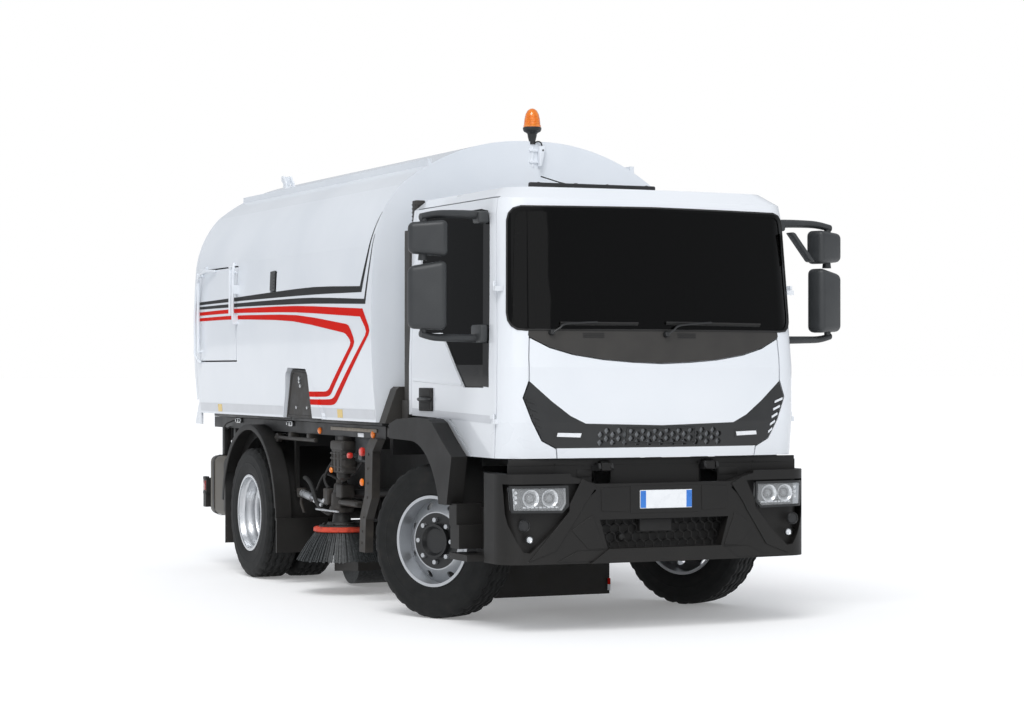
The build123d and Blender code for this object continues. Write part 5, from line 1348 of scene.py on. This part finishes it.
# Near-view mirror on the left front pillar.
mesh = bmesh.new()
rounded(
    mesh, (1.000, at(0.168), 2.325), (1.034, at(0.250), 2.515), 0.015, 4,
    lambda p: Vector((p.x + (2.515 - p.z) * 0.80, p.y, p.z)),
)
close(mesh, "pillar_mirror", MIRROR_ABS, "cab", 40)

# ---- Doors --------------------------------------------------------------------------------

for side, name in SIDES:
    body = f"door_{name}"
    mesh = bmesh.new()
    beside(mesh, side, (1.0505, 1.062), (1.268, 1.498), (1.353, 1.505), 0.005, 3)
    close(mesh, f"handle_plate_{name}", GRAINED_PP, body, 40)
    mesh = bmesh.new()
    for low_z, high_z in ((1.366, 1.412), (1.446, 1.492)):
        beside(mesh, side, (1.0610, 1.0640), (1.300, 1.470), (low_z, high_z), 0.0012, 2)
    close(mesh, f"handle_recess_{name}", RUBBER, body, 40)
    mesh = bmesh.new()
    pull = [(1.060, 1.285, 1.428), (1.080, 1.31, 1.430), (1.084, 1.38, 1.431), (1.080, 1.455, 1.430)]
    tube(mesh, curve_through(placed(side, pull + [(1.060, 1.48, 1.428)])), 0.011, 10)
    close(mesh, f"door_pull_{name}", GRILLE_ABS, body, 40)

# ---- Wheels: bright barrels and lips ------------------------------------------------------

for side, name in SIDES:
    mesh = bmesh.new()
    lathe(
        mesh, (0, at(REAR_AXLE), TYRE_R), (side, 0, 0),
        [
            (1.1985, 0.2975), (1.2005, 0.2900), (1.1985, 0.2820), (1.1900, 0.2780), (1.1700, 0.2770),
            (1.1560, 0.2700), (1.1500, 0.2655), (1.1180, 0.2640), (1.1080, 0.2585), (1.0700, 0.2570),
            (1.0600, 0.2500), (1.0350, 0.2480),
        ],
        72,
    )
    close(mesh, f"rear_rim_barrel_{name}", SILVER_PAINT, f"wheels_rear_{name}", 32)
    hub, turned = front_hub(side)
    mesh = bmesh.new()
    lathe(
        mesh, hub, turned,
        [(0.1190, 0.2975), (0.1225, 0.2930), (0.1225, 0.2860), (0.1190, 0.2825), (0.1100, 0.2805)], 72,
    )
    close(mesh, f"front_rim_lip_{name}", SILVER_PAINT, f"wheel_front_{name}", 32)

# ---- Hopper: sills, recess and clamps -----------------------------------------------------

# The body tips about this line, so its sills leave the ends of the side beams free.
TIPPING = 5.950
mesh = bmesh.new()
for side, name in SIDES:
    for start, end in ((2.012, 3.90), (3.90, TIPPING - 0.070)):
        beside(mesh, side, (1.00, 1.125), (start, end), (1.2415, 1.270), 0.004, 2)
close(mesh, "hopper_sills", CHASSIS_ENAMEL, "hopper", 35)

RECESS = [
    (3.036, 1.268), (3.068, 1.304), (3.336, 1.560), (3.388, 1.618), (3.772, 1.628), (3.818, 1.592),
    (3.912, 1.268),
]
for side, name in SIDES:
    mesh = bmesh.new()
    side_plate(mesh, side, 1.128, RECESS, 0.036)
    middle = (3.5, 1.42)
    small = [(middle[0] + (b - middle[0]) * 0.9, middle[1] + (z - middle[1]) * 0.9) for b, z in RECESS]
    for (ab, az), (bb, bz) in zip(small, small[1:] + small[:1]):
        tube(mesh, [(side * 1.1645, at(ab), az), (side * 1.1645, at(bb), bz)], 0.005, 8)
    close(mesh, f"recess_plate_{name}", GEAR_STEEL, "hopper", 35, 0.002)
    mesh = bmesh.new()
    for back, z, size in (
        (3.60, 1.560, 0.017), (3.60, 1.535, 0.014), (3.575, 1.505, 0.016), (3.66, 1.345, 0.013),
        (3.42, 1.345, 0.013),
    ):
        boss(
            mesh, side, 1.163, back, z,
            [(0, 0), (0, size), (0.011, size * 0.94), (0.014, size * 0.7), (0.014, 0)], 20,
        )
    close(mesh, f"recess_pins_{name}", PLATED_STEEL, "hopper", 35)
    mesh = bmesh.new()
    skin(
        mesh, on_hopper(side, 0.003), [(3.828, 1.60), (3.925, 1.27)], [(3.845, 1.60), (3.945, 1.27)], 8, 1,
        (side * -0.004, 0, 0),
    )
    close(mesh, f"recess_lips_{name}", HOPPER_ENAMEL, "hopper", 35)
    mesh = bmesh.new()
    cheek = [(3.042, 1.272), (3.056, 1.306), (3.326, 1.576), (3.380, 1.632), (3.256, 1.272)]
    side_plate(mesh, side, 1.1780, cheek, 0.0124)
    heights = (1.268, 1.30, 1.44, 1.575)
    skin(
        mesh, lambda back, z: on_collar(side, back, z, -0.0008),
        [(collar_edge(z) - 0.032, z) for z in heights], [(collar_edge(z) + 0.010, z) for z in heights], 5,
        12,
    )
    close(mesh, f"recess_cheeks_{name}", HOPPER_ENAMEL, "hopper", 50)
    # Lashing eyes and small clamps under the sill.
    mesh = bmesh.new()
    for back in (4.02, 5.30):
        beside(mesh, side, (1.088, 1.106), (back - 0.06, back + 0.06), (1.196, 1.236), 0.004, 2)
        for offset in (-0.03, 0.03):
            boss(
                mesh, side, 1.104, back + offset, 1.216, [(0, 0), (0, 0.014), (0.012, 0.013), (0.014, 0)], 6
            )
    close(mesh, f"beam_clamps_{name}", PLATED_STEEL, "chassis", 35)
    mesh = bmesh.new()
    eye = [
        (1.09, 5.42, 1.215), (1.13, 5.50, 1.19), (1.135, 5.56, 1.165), (1.11, 5.60, 1.14),
        (1.09, 5.56, 1.158),
    ]
    tube(mesh, curve_through(placed(side, eye)), 0.006, 8)
    close(mesh, f"lashing_eye_{name}", RUBBER, "chassis", 35)

# ---- Gear between the wheels --------------------------------------------------------------

STRUT = [
    (2.10, 1.150), (2.25, 1.150), (2.345, 1.075), (2.352, 0.76), (2.445, 0.60), (2.462, 0.355),
    (2.345, 0.355), (2.330, 0.585), (2.215, 0.74), (2.200, 1.06),
]
for side, name in SIDES:
    mesh = bmesh.new()
    side_plate(mesh, side, 1.062, STRUT, 0.060)
    for back, z in (
        (2.28, 1.04), (2.29, 0.94), (2.29, 0.84), (2.30, 0.74), (2.37, 0.60), (2.40, 0.50), (2.405, 0.42),
    ):
        boss(mesh, side, 1.121, back, z, [(0, 0), (0, 0.011), (0.006, 0.009), (0.008, 0)], 10)
    # Filter housing with its lid, bands and drain bowl.
    near, far = sorted((side * 1.012, side * 1.138))
    low, high = (near, at(2.765), 0.885), (far, at(3.005), 1.085)
    rounded(mesh, low, high, 0.03, 4)
    rounded(mesh, (low[0] - 0.003, at(2.755), 1.050), (high[0] + 0.003, at(3.015), 1.118), 0.016, 3)
    rounded(mesh, (low[0] + 0.03, at(2.83), 1.110), (high[0] - 0.03, at(2.94), 1.150), 0.004, 2)
    for z in (0.925, 0.985, 1.020):
        rounded(mesh, (low[0] - 0.004, at(2.761), z), (high[0] + 0.004, at(3.009), z + 0.014), 0.005, 2)
    for back in (2.82, 2.89, 2.96):
        rounded(
            mesh, (side * 1.138 - 0.006, at(back), 0.90), (side * 1.138 + 0.006, at(back + 0.014), 1.04),
            0.004, 2,
        )
    lathe(
        mesh, (side * 1.075, at(2.90), 0.89), (0, 0, -1),
        [(0, 0.0), (0, 0.052), (0.036, 0.050), (0.054, 0.034), (0.060, 0.014), (0.066, 0.012), (0.066, 0)],
        28,
    )
    # Support bar of the rear fender, with its eye and tip.
    tube(mesh, placed(side, [(1.112, 3.39, 1.106), (1.112, 4.31, 1.106)]), 0.015, 14)
    boss(mesh, side, 1.09, 4.25, 1.106, [(0, 0.012), (0, 0.034), (0.036, 0.034), (0.036, 0.012)], 20)
    for back in (3.56, 3.98):
        beside(mesh, side, (1.05, 1.118), (back - 0.03, back + 0.03), (1.10, 1.152), 0.006, 2)
    close(mesh, f"side_gear_{name}", GEAR_STEEL, "chassis", 32, 0.0015, hides=["equipment"])
    mesh = bmesh.new()
    # Pale marker rail on the beam's face and a blank tag.
    beside(mesh, side, (1.0855, 1.094), (2.20, 3.13), (1.190, 1.214), 0.003, 2)
    close(mesh, f"marker_rail_{name}", WORN_BEIGE, "chassis", 35)
    mesh = bmesh.new()
    beside(mesh, side, (1.0855, 1.090), (2.46, 2.58), (1.152, 1.180), 0.0015, 2)
    close(mesh, f"blank_tag_{name}", PLATE_FILM, "chassis", 35)
    mesh = bmesh.new()
    for x, back, z, size in (
        (1.0855, 3.375, 1.178, 0.024), (1.0855, 2.275, 1.176, 0.026), (1.139, 2.975, 0.905, 0.020),
        (1.1215, 2.395, 0.842, 0.026),
    ):
        boss(
            mesh, side, x, back, z,
            [(0, 0), (0, size), (0.008, size), (0.014, size * 0.8), (0.018, size * 0.4), (0.019, 0)], 24,
        )
    close(mesh, f"side_markers_{name}", AMBER_LENS, "chassis", 35)
    mesh = bmesh.new()
    # Valve plate under the beam that carries two knobs.
    beside(mesh, side, (1.02, 1.052), (2.40, 2.73), (0.975, 1.152), 0.006, 2)
    for back, z in ((2.44, 1.052), (2.69, 1.018)):
        boss(
            mesh, side, 1.050, back, z,
            [(0, 0), (0, 0.020), (0.02, 0.018), (0.024, 0.011), (0.042, 0.010), (0.042, 0)], 20,
        )
    beside(mesh, side, (1.050, 1.10), (2.47, 2.55), (0.99, 1.03), 0.008, 3)
    close(mesh, f"valve_plate_{name}", DARK_ZINC, "chassis", 35)
    mesh = bmesh.new()
    for back, z, size in ((2.44, 1.052, 0.031), (2.69, 1.018, 0.021)):
        boss(
            mesh, side, 1.090, back, z,
            [(0, 0), (0, size * 0.8), (0.008, size), (0.026, size), (0.034, size * 0.8), (0.036, 0)], 24,
        )
    close(mesh, f"valve_knobs_{name}", KNOB_RED, "chassis", 35)
    # Brush motor on the arm's end, its cylinder and its pipes.
    body = f"brush_arm_{name}"
    mesh = bmesh.new()
    lathe(
        mesh, (side * BRUSH_X, at(BRUSH_BACK), 0.592), UP,
        [
            (0, 0), (0, 0.088), (0.03, 0.090), (0.05, 0.076), (0.13, 0.074), (0.15, 0.060), (0.20, 0.056),
            (0.215, 0.040), (0.235, 0.038), (0.235, 0),
        ],
        32,
    )
    for k in range(6):
        angle = math.pi * k / 3
        lathe(
            mesh,
            (side * BRUSH_X + 0.074 * math.cos(angle), at(BRUSH_BACK) + 0.074 * math.sin(angle), 0.622), UP,
            [(0, 0), (0, 0.010), (0.012, 0.010), (0.014, 0)], 6,
        )
    beside(mesh, side, (0.96, 1.065), (2.98, 3.10), (0.70, 0.80), 0.012, 3)
    beside(mesh, side, (1.02, 1.085), (3.22, 3.32), (0.64, 0.76), 0.012, 3)
    beside(mesh, side, (0.99, 1.06), (2.70, 3.07), (0.645, 0.690), 0.018, 4)
    close(mesh, f"brush_motor_{name}", GEAR_STEEL, body, 32)
    mesh = bmesh.new()
    for points, size in (
        (
            [
                (1.06, 3.79, 0.815), (1.075, 3.70, 0.81), (1.08, 3.60, 0.775), (1.08, 3.53, 0.715),
                (1.08, 3.48, 0.655), (1.075, 3.38, 0.605), (1.05, 3.28, 0.575), (1.03, 3.22, 0.60),
            ],
            0.016,
        ),
        (
            [
                (1.03, 3.05, 0.80), (1.05, 2.95, 0.86), (1.03, 2.83, 0.88), (1.02, 2.72, 0.95),
                (1.03, 2.62, 0.99),
            ],
            0.011,
        ),
        (
            [
                (1.06, 3.27, 0.76), (1.07, 3.32, 0.83), (1.05, 3.25, 0.93), (1.03, 3.10, 1.02),
                (1.03, 3.02, 1.06),
            ],
            0.011,
        ),
        (
            [
                (1.00, 3.20, 0.82), (1.04, 3.36, 0.86), (1.05, 3.45, 0.82), (1.06, 3.52, 0.74),
                (1.06, 3.60, 0.69),
            ],
            0.009,
        ),
    ):
        tube(mesh, curve_through(placed(side, points)), size, 10)
    close(mesh, f"brush_pipes_{name}", RUBBER, body, 40)
    mesh = bmesh.new()
    tube(mesh, placed(side, [(1.055, 3.86, 0.698), (1.058, 3.61, 0.672)]), 0.030, 24)
    tube(mesh, placed(side, [(1.058, 3.62, 0.673), (1.058, 3.30, 0.645)]), 0.012, 14)
    tube(mesh, placed(side, [(1.085, 3.46, 0.598), (1.09, 2.98, 0.604)]), 0.008, 10)
    for back, z in ((3.50, 0.655), (3.36, 0.635), (3.30, 0.67)):
        boss(mesh, side, 1.075, back, z, [(0, 0), (0, 0.016), (0.014, 0.016), (0.02, 0.009), (0.02, 0)], 6)
    close(mesh, f"brush_cylinder_{name}", SILVER_PAINT, body, 32)
    mesh = bmesh.new()
    beside(mesh, side, (1.02, 1.09), (3.84, 3.90), (0.665, 0.735), 0.012, 3)
    tube(mesh, placed(side, [(1.055, 3.87, 0.70), (1.055, 3.885, 0.62), (1.04, 3.86, 0.55)]), 0.012, 10)
    close(mesh, f"cylinder_foot_{name}", GEAR_STEEL, body, 32)
    # Tank with straps and its hangers.
    mesh = bmesh.new()
    beside(mesh, side, (0.745, 1.142), (5.43, 5.97), (0.430, 0.915), 0.055, 5)
    lathe(
        mesh, (side * 0.93, at(5.70), 0.91), UP,
        [(0, 0), (0, 0.06), (0.03, 0.058), (0.036, 0.05), (0.036, 0)], 24,
    )
    close(mesh, f"side_tank_{name}", TANK_SKIN, "chassis", 40, hides=["side_tanks"])
    mesh = bmesh.new()
    for back in (5.53, 5.84):
        rows = []
        for dx, z in (
            (0.742, 0.90), (0.80, 0.921), (1.09, 0.921), (1.132, 0.90), (1.147, 0.86), (1.147, 0.485),
            (1.132, 0.443), (1.09, 0.424), (0.80, 0.424), (0.742, 0.45),
        ):
            rows.append([
                Vector((side * dx, at(back - 0.022), z)), Vector((side * dx, at(back + 0.022), z)),
            ])
        sheet(mesh, rows, (side * -0.003, 0, -0.003))
        beside(mesh, side, (0.80, 0.86), (back - 0.03, back + 0.03), (0.91, 1.152), 0.006, 2)
        beside(mesh, side, (1.00, 1.06), (back - 0.03, back + 0.03), (0.91, 1.152), 0.006, 2)
    for z in (0.585, 0.705):
        beside(mesh, side, (1.12, 1.158), (6.03, 6.10), (z, z + 0.03), 0.008, 3)
    close(mesh, f"tank_straps_{name}", CHASSIS_ENAMEL, "chassis", 35)
    mesh = bmesh.new()
    beside(mesh, side, (1.145, 1.156), (6.035, 6.10), (0.62, 0.70), 0.004, 2)
    close(mesh, f"tail_side_lamp_{name}", RED_LENS, "chassis", 35)
    # Lighter lip band round the rear fender's outer edge.
    mesh = bmesh.new()
    rows = []
    for k in range(25):
        angle = math.radians(6 + 168 * k / 24)
        rows.append([
            Vector((side * x, at(REAR_AXLE) - math.cos(angle) * r, TYRE_R + math.sin(angle) * r))
            for x, r in ((1.200, 0.690), (1.211, 0.690), (1.213, 0.680), (1.211, 0.652), (1.205, 0.648))
        ])
    sheet(mesh, rows)
    close(mesh, f"rear_fender_lip_{name}", GRAINED_PP, "chassis", 40)

# Reflective mark on the front mud flap's edge.
mesh = bmesh.new()
rounded(mesh, (0.398, at(1.622), 0.098), (0.420, at(1.629), 0.140), 0.002, 2)
close(mesh, "flap_mark_white", PLATE_FILM, "chassis", 35)
mesh = bmesh.new()
rounded(mesh, (0.398, at(1.622), 0.140), (0.420, at(1.629), 0.182), 0.002, 2)
close(mesh, "flap_mark_red", RED_FILM, "chassis", 35)

# ---- Bumper and valance details -----------------------------------------------------------


def on_bumper(mesh, corners, lift):
    """A four-sided panel on the bumper's front: corners as (x, z) from top left clockwise."""
    a, b, c, d = corners
    skin(mesh, lambda x, z: bumper_front(x, z, lift), [a, b], [d, c], 10, 5, (0, lift + 0.004, 0))


mesh = bmesh.new()
for side, name in SIDES:
    # Diagonal braces from the plate's sides down to the lower corners, and two covers.
    outer = [(0.570, 0.955), (0.652, 0.800), (0.655, 0.755), (0.915, 0.452)]
    inner = [(0.475, 0.905), (0.560, 0.790), (0.585, 0.745), (0.740, 0.515)]
    skin(mesh, bumper_place(side, 0.007), outer, inner, 6, 5, (0, 0.011, 0))
    on_bumper(
        mesh, [(side * 0.255, 0.902), (side * 0.445, 0.895), (side * 0.440, 0.752), (side * 0.258, 0.745)],
        0.0035,
    )
on_bumper(mesh, [(-0.245, 0.905), (0.245, 0.905), (0.245, 0.735), (-0.245, 0.735)], 0.003)
on_bumper(mesh, [(-0.60, 0.510), (0.60, 0.510), (0.73, 0.446), (-0.73, 0.446)], 0.006)
for side, name in SIDES:
    on_bumper(
        mesh, [(side * 0.50, 0.730), (side * 0.64, 0.640), (side * 0.53, 0.520), (side * 0.42, 0.520)],
        0.004,
    )
close(mesh, "bumper_panels", GRAINED_PP, "chassis", 25, 0.002)

# Mesh and cable box in the bumper's mouth, with a dark shield behind.
mesh = bmesh.new()
rounded(mesh, (-0.47, at(0.150), 0.49), (0.47, at(0.158), 0.735), 0.003, 2)
for k in range(15):
    for j in range(4):
        x = -0.42 + 0.06 * k + (0.03 if j % 2 else 0.0)
        z = 0.532 + 0.052 * j
        ring = [
            (x + 0.034 * math.cos(t), at(0.118), z + 0.034 * math.sin(t))
            for t in (math.pi / 6 + math.pi * i / 3 for i in range(6))
        ]
        tube(mesh, ring + [ring[0]], 0.0045, 5, ends=False)
rounded(mesh, (-0.145, at(0.082), 0.612), (0.085, at(0.145), 0.700), 0.012, 3)
lathe(
    mesh, (-0.26, at(0.120), 0.585), AHEAD, [(0, 0), (0, 0.022), (0.02, 0.020), (0.024, 0.012), (0.024, 0)],
    16,
)
close(mesh, "mouth_mesh", RUBBER, "chassis", 35)

mesh = bmesh.new()
rounded(mesh, (-1.010, at(0.1485), 1.030), (1.010, at(0.1630), 1.0735), 0.003, 2)
for low, high in ((-0.548, -0.452), (0.452, 0.590)):
    rounded(mesh, (low, at(0.1465), 0.958), (high, at(0.151), 1.008), 0.004, 2)
for x in (-0.700, 0.700, -0.30, 0.30):
    rounded(mesh, (x - 0.004, at(0.1485), 0.90), (x + 0.004, at(0.151), 1.046), 0.001, 1)
close(mesh, "valance_top", GRAINED_PP, "chassis", 35)
mesh = bmesh.new()
LUG = [(0.0955, 0.997), (0.0955, 1.045), (0.198, 1.0775), (0.303, 1.0775), (0.303, 1.057), (0.149, 0.997)]
for side, name in SIDES:
    side_plate(mesh, side, 0.330, LUG, 0.070)
close(mesh, "tilt_lug_boots", GRAINED_PP, "cab", 35, 0.004)

# Dark print at the foot of each side window, the blank label on it, and the door's band film.
for side, name in SIDES:
    body = f"door_{name}"
    mesh = bmesh.new()
    side_plate(mesh, side, 1.0335, ((0.452, 1.518), (0.768, 1.518), (0.93, 1.655), (0.452, 1.655)), 0.0038)
    close(mesh, f"window_print_{name}", PRINT_BLACK, body, 35)
    mesh = bmesh.new()
    beside(mesh, side, (1.0335, 1.0362), (0.560, 0.662), (1.590, 1.640), 0.001, 1)
    close(mesh, f"blank_label_{name}", PLATE_FILM, body, 35)
    mesh = bmesh.new()
    side_plate(
        mesh, side, 1.0502, ((0.330, 1.340), (1.640, 1.369), (1.640, 1.320), (0.70, 1.300), (0.330, 1.291)),
        0.0008,
    )
    close(mesh, f"door_band_{name}", GREY_FILM, body, 35)

# ---- Ceramic prints, roof strip, door crease ----------------------------------------------


def cab_side(side, back, z, lift=0.0):
    """A point on the cab's side at a distance behind the front and a height, lifted outward."""
    nose, half, bow = cab_level(z)
    bend = nose + bow + CAB_CORNER
    x = half
    if back < bend:
        x = half - CAB_CORNER + math.sqrt(max(0.0, CAB_CORNER ** 2 - (bend - back) ** 2))
    return Vector((side * (x + lift), at(back), z))


CREASE_LOW, CREASE_RISE = 1.523, 0.030
for side, name in SIDES:
    # Black border that carries the screen towards the corner pillar.
    mesh = bmesh.new()
    within = [(x - 0.012, min(max(z, 1.882), 2.606)) for x, z in GLASS_RIGHT] + [(0.0, 2.620)]
    skin(mesh, on_cab(side, 0.0015), PRINT_RIGHT + [(0.0, 2.642)], within, 6, 4)
    close(mesh, f"screen_border_{name}", PRINT_BLACK, "cab", 60)
    # The same print ahead of the side window.
    mesh = bmesh.new()
    ahead = [(0.362, 1.516), (0.368, 1.860), (0.385, 2.20), (0.408, 2.56), (0.440, 2.618)]
    behind = [(0.450, 1.520), (0.466, 1.860), (0.486, 2.20), (0.507, 2.56), (0.545, 2.632)]
    skin(mesh, lambda back, z: cab_side(side, back, z, 0.0012), ahead, behind, 6, 4)
    close(mesh, f"window_border_{name}", PRINT_BLACK, f"door_{name}", 60)
    # Pressed crease along the door, over the handle.
    mesh = bmesh.new()
    spine = [
        cab_side(side, 0.80 + 0.82 * k / 16, CREASE_LOW + CREASE_RISE * k / 16, 0.0005)
        for k in range(17)
    ]
    sheet(
        mesh,
        [
            [p + Vector((side * dx, 0, dz)) for p in spine]
            for dx, dz in ((-0.001, 0.016), (0.003, 0.004), (0.0035, 0.0), (-0.001, -0.006))
        ],
    )
    close(mesh, f"door_crease_{name}", CAB_ENAMEL, f"door_{name}", 60)

mesh = bmesh.new()
rounded(mesh, (-0.766, at(0.368), 2.760), (0.118, at(0.404), 2.798), 0.010, 3)
tube(mesh, [(-0.445, at(0.398), 2.784), (-0.54, at(0.42), 2.806), (-0.655, at(0.45), 2.842)], 0.004, 8)
lathe(
    mesh, (-0.436, at(0.396), 2.780), UP, [(0, 0), (0, 0.024), (0.012, 0.022), (0.022, 0.010), (0.022, 0)],
    20,
)
for x in (-0.70, -0.22, 0.06):
    lathe(mesh, (x, at(0.386), 2.794), UP, [(0, 0), (0, 0.010), (0.006, 0.009), (0.008, 0)], 12)
close(mesh, "roof_strip", GRILLE_ABS, "cab", 35)

# Louvred head on the air intake behind the cab.
mesh = bmesh.new()
rounded(mesh, (-0.995, at(1.715), 2.545), (-0.925, at(1.785), 2.765), 0.008, 3)
for k in range(7):
    z = 2.575 + 0.026 * k
    rounded(mesh, (-0.999, at(1.719), z), (-0.990, at(1.781), z + 0.010), 0.002, 2)
    rounded(mesh, (-0.990, at(1.711), z), (-0.930, at(1.718), z + 0.010), 0.002, 2)
close(mesh, "intake_head", COWL_ABS, "cab", 35)

# Guard box between the cab's foot and the hopper, on a bracket from each side beam's end.
for side, name in SIDES:
    mesh = bmesh.new()
    outline = ((1.165, 1.262), (1.082, 1.492), (1.060, 1.510), (0.800, 1.510), (0.800, 1.262))
    prism(mesh, [(side * x, at(1.850), z) for x, z in outline], (0, 0.115, 0))
    beside(mesh, side, (1.005, 1.080), (1.900, 1.960), (1.165, 1.270), 0.005, 2)
    beside(mesh, side, (1.005, 1.080), (1.900, 2.042), (1.165, 1.232), 0.005, 2)
    beside(mesh, side, (1.020, 0.860), (1.845, 1.852), (1.300, 1.470), 0.003, 2)
    close(mesh, f"guard_box_{name}", COWL_ABS, "chassis", 30, 0.006)

# ---- Studio -------------------------------------------------------------------------------


def in_view(tree, path):
    """1 where the camera looks, straight or through glass."""
    rays = {0: path.outputs["Is Camera Ray"], 1: path.outputs["Is Transmission Ray"]}
    return put(tree, "Math", rays, operation="MAXIMUM").outputs[0]


def studio():
    """A pale floor that keeps the shadow, a white surround, a soft dome and two large lamps."""
    scene = bpy.context.scene
    scene.view_settings.view_transform = "Standard"
    floor_mesh = bpy.data.meshes.new("studio_floor")
    edge = 400
    floor_mesh.from_pydata(
        [(-edge, -edge, 0), (edge, -edge, 0), (edge, edge, 0), (-edge, edge, 0)], [], [(0, 1, 2, 3)],
    )
    floor = bpy.data.objects.new("studio_floor", floor_mesh)
    scene.collection.objects.link(floor)
    material, tree, shader, _ = blank("studio_floor_paint")
    shader.inputs["Base Color"].default_value = linear("#F2F2F2")
    shader.inputs["Roughness"].default_value = 0.9
    shader.inputs["Specular IOR Level"].default_value = 0.1
    path = put(tree, "LightPath")
    seen = in_view(tree, path)
    seen = put(tree, "Math", {0: seen, 1: path.outputs["Is Glossy Ray"]}, operation="MAXIMUM").outputs[0]
    lift = put(tree, "Math", {0: seen, 1: 0.21}, operation="MULTIPLY").outputs[0]
    tree.links.new(lift, shader.inputs["Emission Strength"])
    shader.inputs["Emission Color"].default_value = (1, 1, 1, 1)
    floor_mesh.materials.append(material)

    world = bpy.data.worlds.new("studio_surround")
    scene.world = world
    world.use_nodes = True
    tree = world.node_tree
    back = tree.nodes["Background"]
    path = put(tree, "LightPath")
    seen = in_view(tree, path)
    level = put(tree, "MapRange", {"Value": seen, "To Min": 0.62, "To Max": 1.0}).outputs[0]
    colour = put(tree, "Mix", {0: seen, 6: linear("#EEF2F8"), 7: (1, 1, 1, 1)}, data_type="RGBA").outputs[2]
    tree.links.new(level, back.inputs["Strength"])
    tree.links.new(colour, back.inputs["Color"])

    # Wide, even suns stand for far softboxes: a high one from the front right, and a low frontal one.
    for name, way, strength, spread in (
        ("key_softbox", (0.42, 0.55, -0.95), 1.5, 30),
        ("front_softbox", (0.35, 1.0, -0.35), 0.55, 60),
    ):
        lamp = bpy.data.lights.new(name, "SUN")
        lamp.angle = math.radians(spread)
        lamp.energy = strength
        holder = bpy.data.objects.new(name, lamp)
        scene.collection.objects.link(holder)
        holder.rotation_euler = Vector(way).to_track_quat("-Z", "Y").to_euler()

    lens_data = bpy.data.cameras.new("studio_camera")
    lens_data.sensor_width = 36.0
    lens_data.lens = 2388 / 1024 * 36
    camera = bpy.data.objects.new("studio_camera", lens_data)
    scene.collection.objects.link(camera)
    camera.location = (-6.963, -16.336, 1.625)
    camera.rotation_euler = (math.radians(90.16), 0, math.radians(-24.12))
    scene.camera = camera


studio()
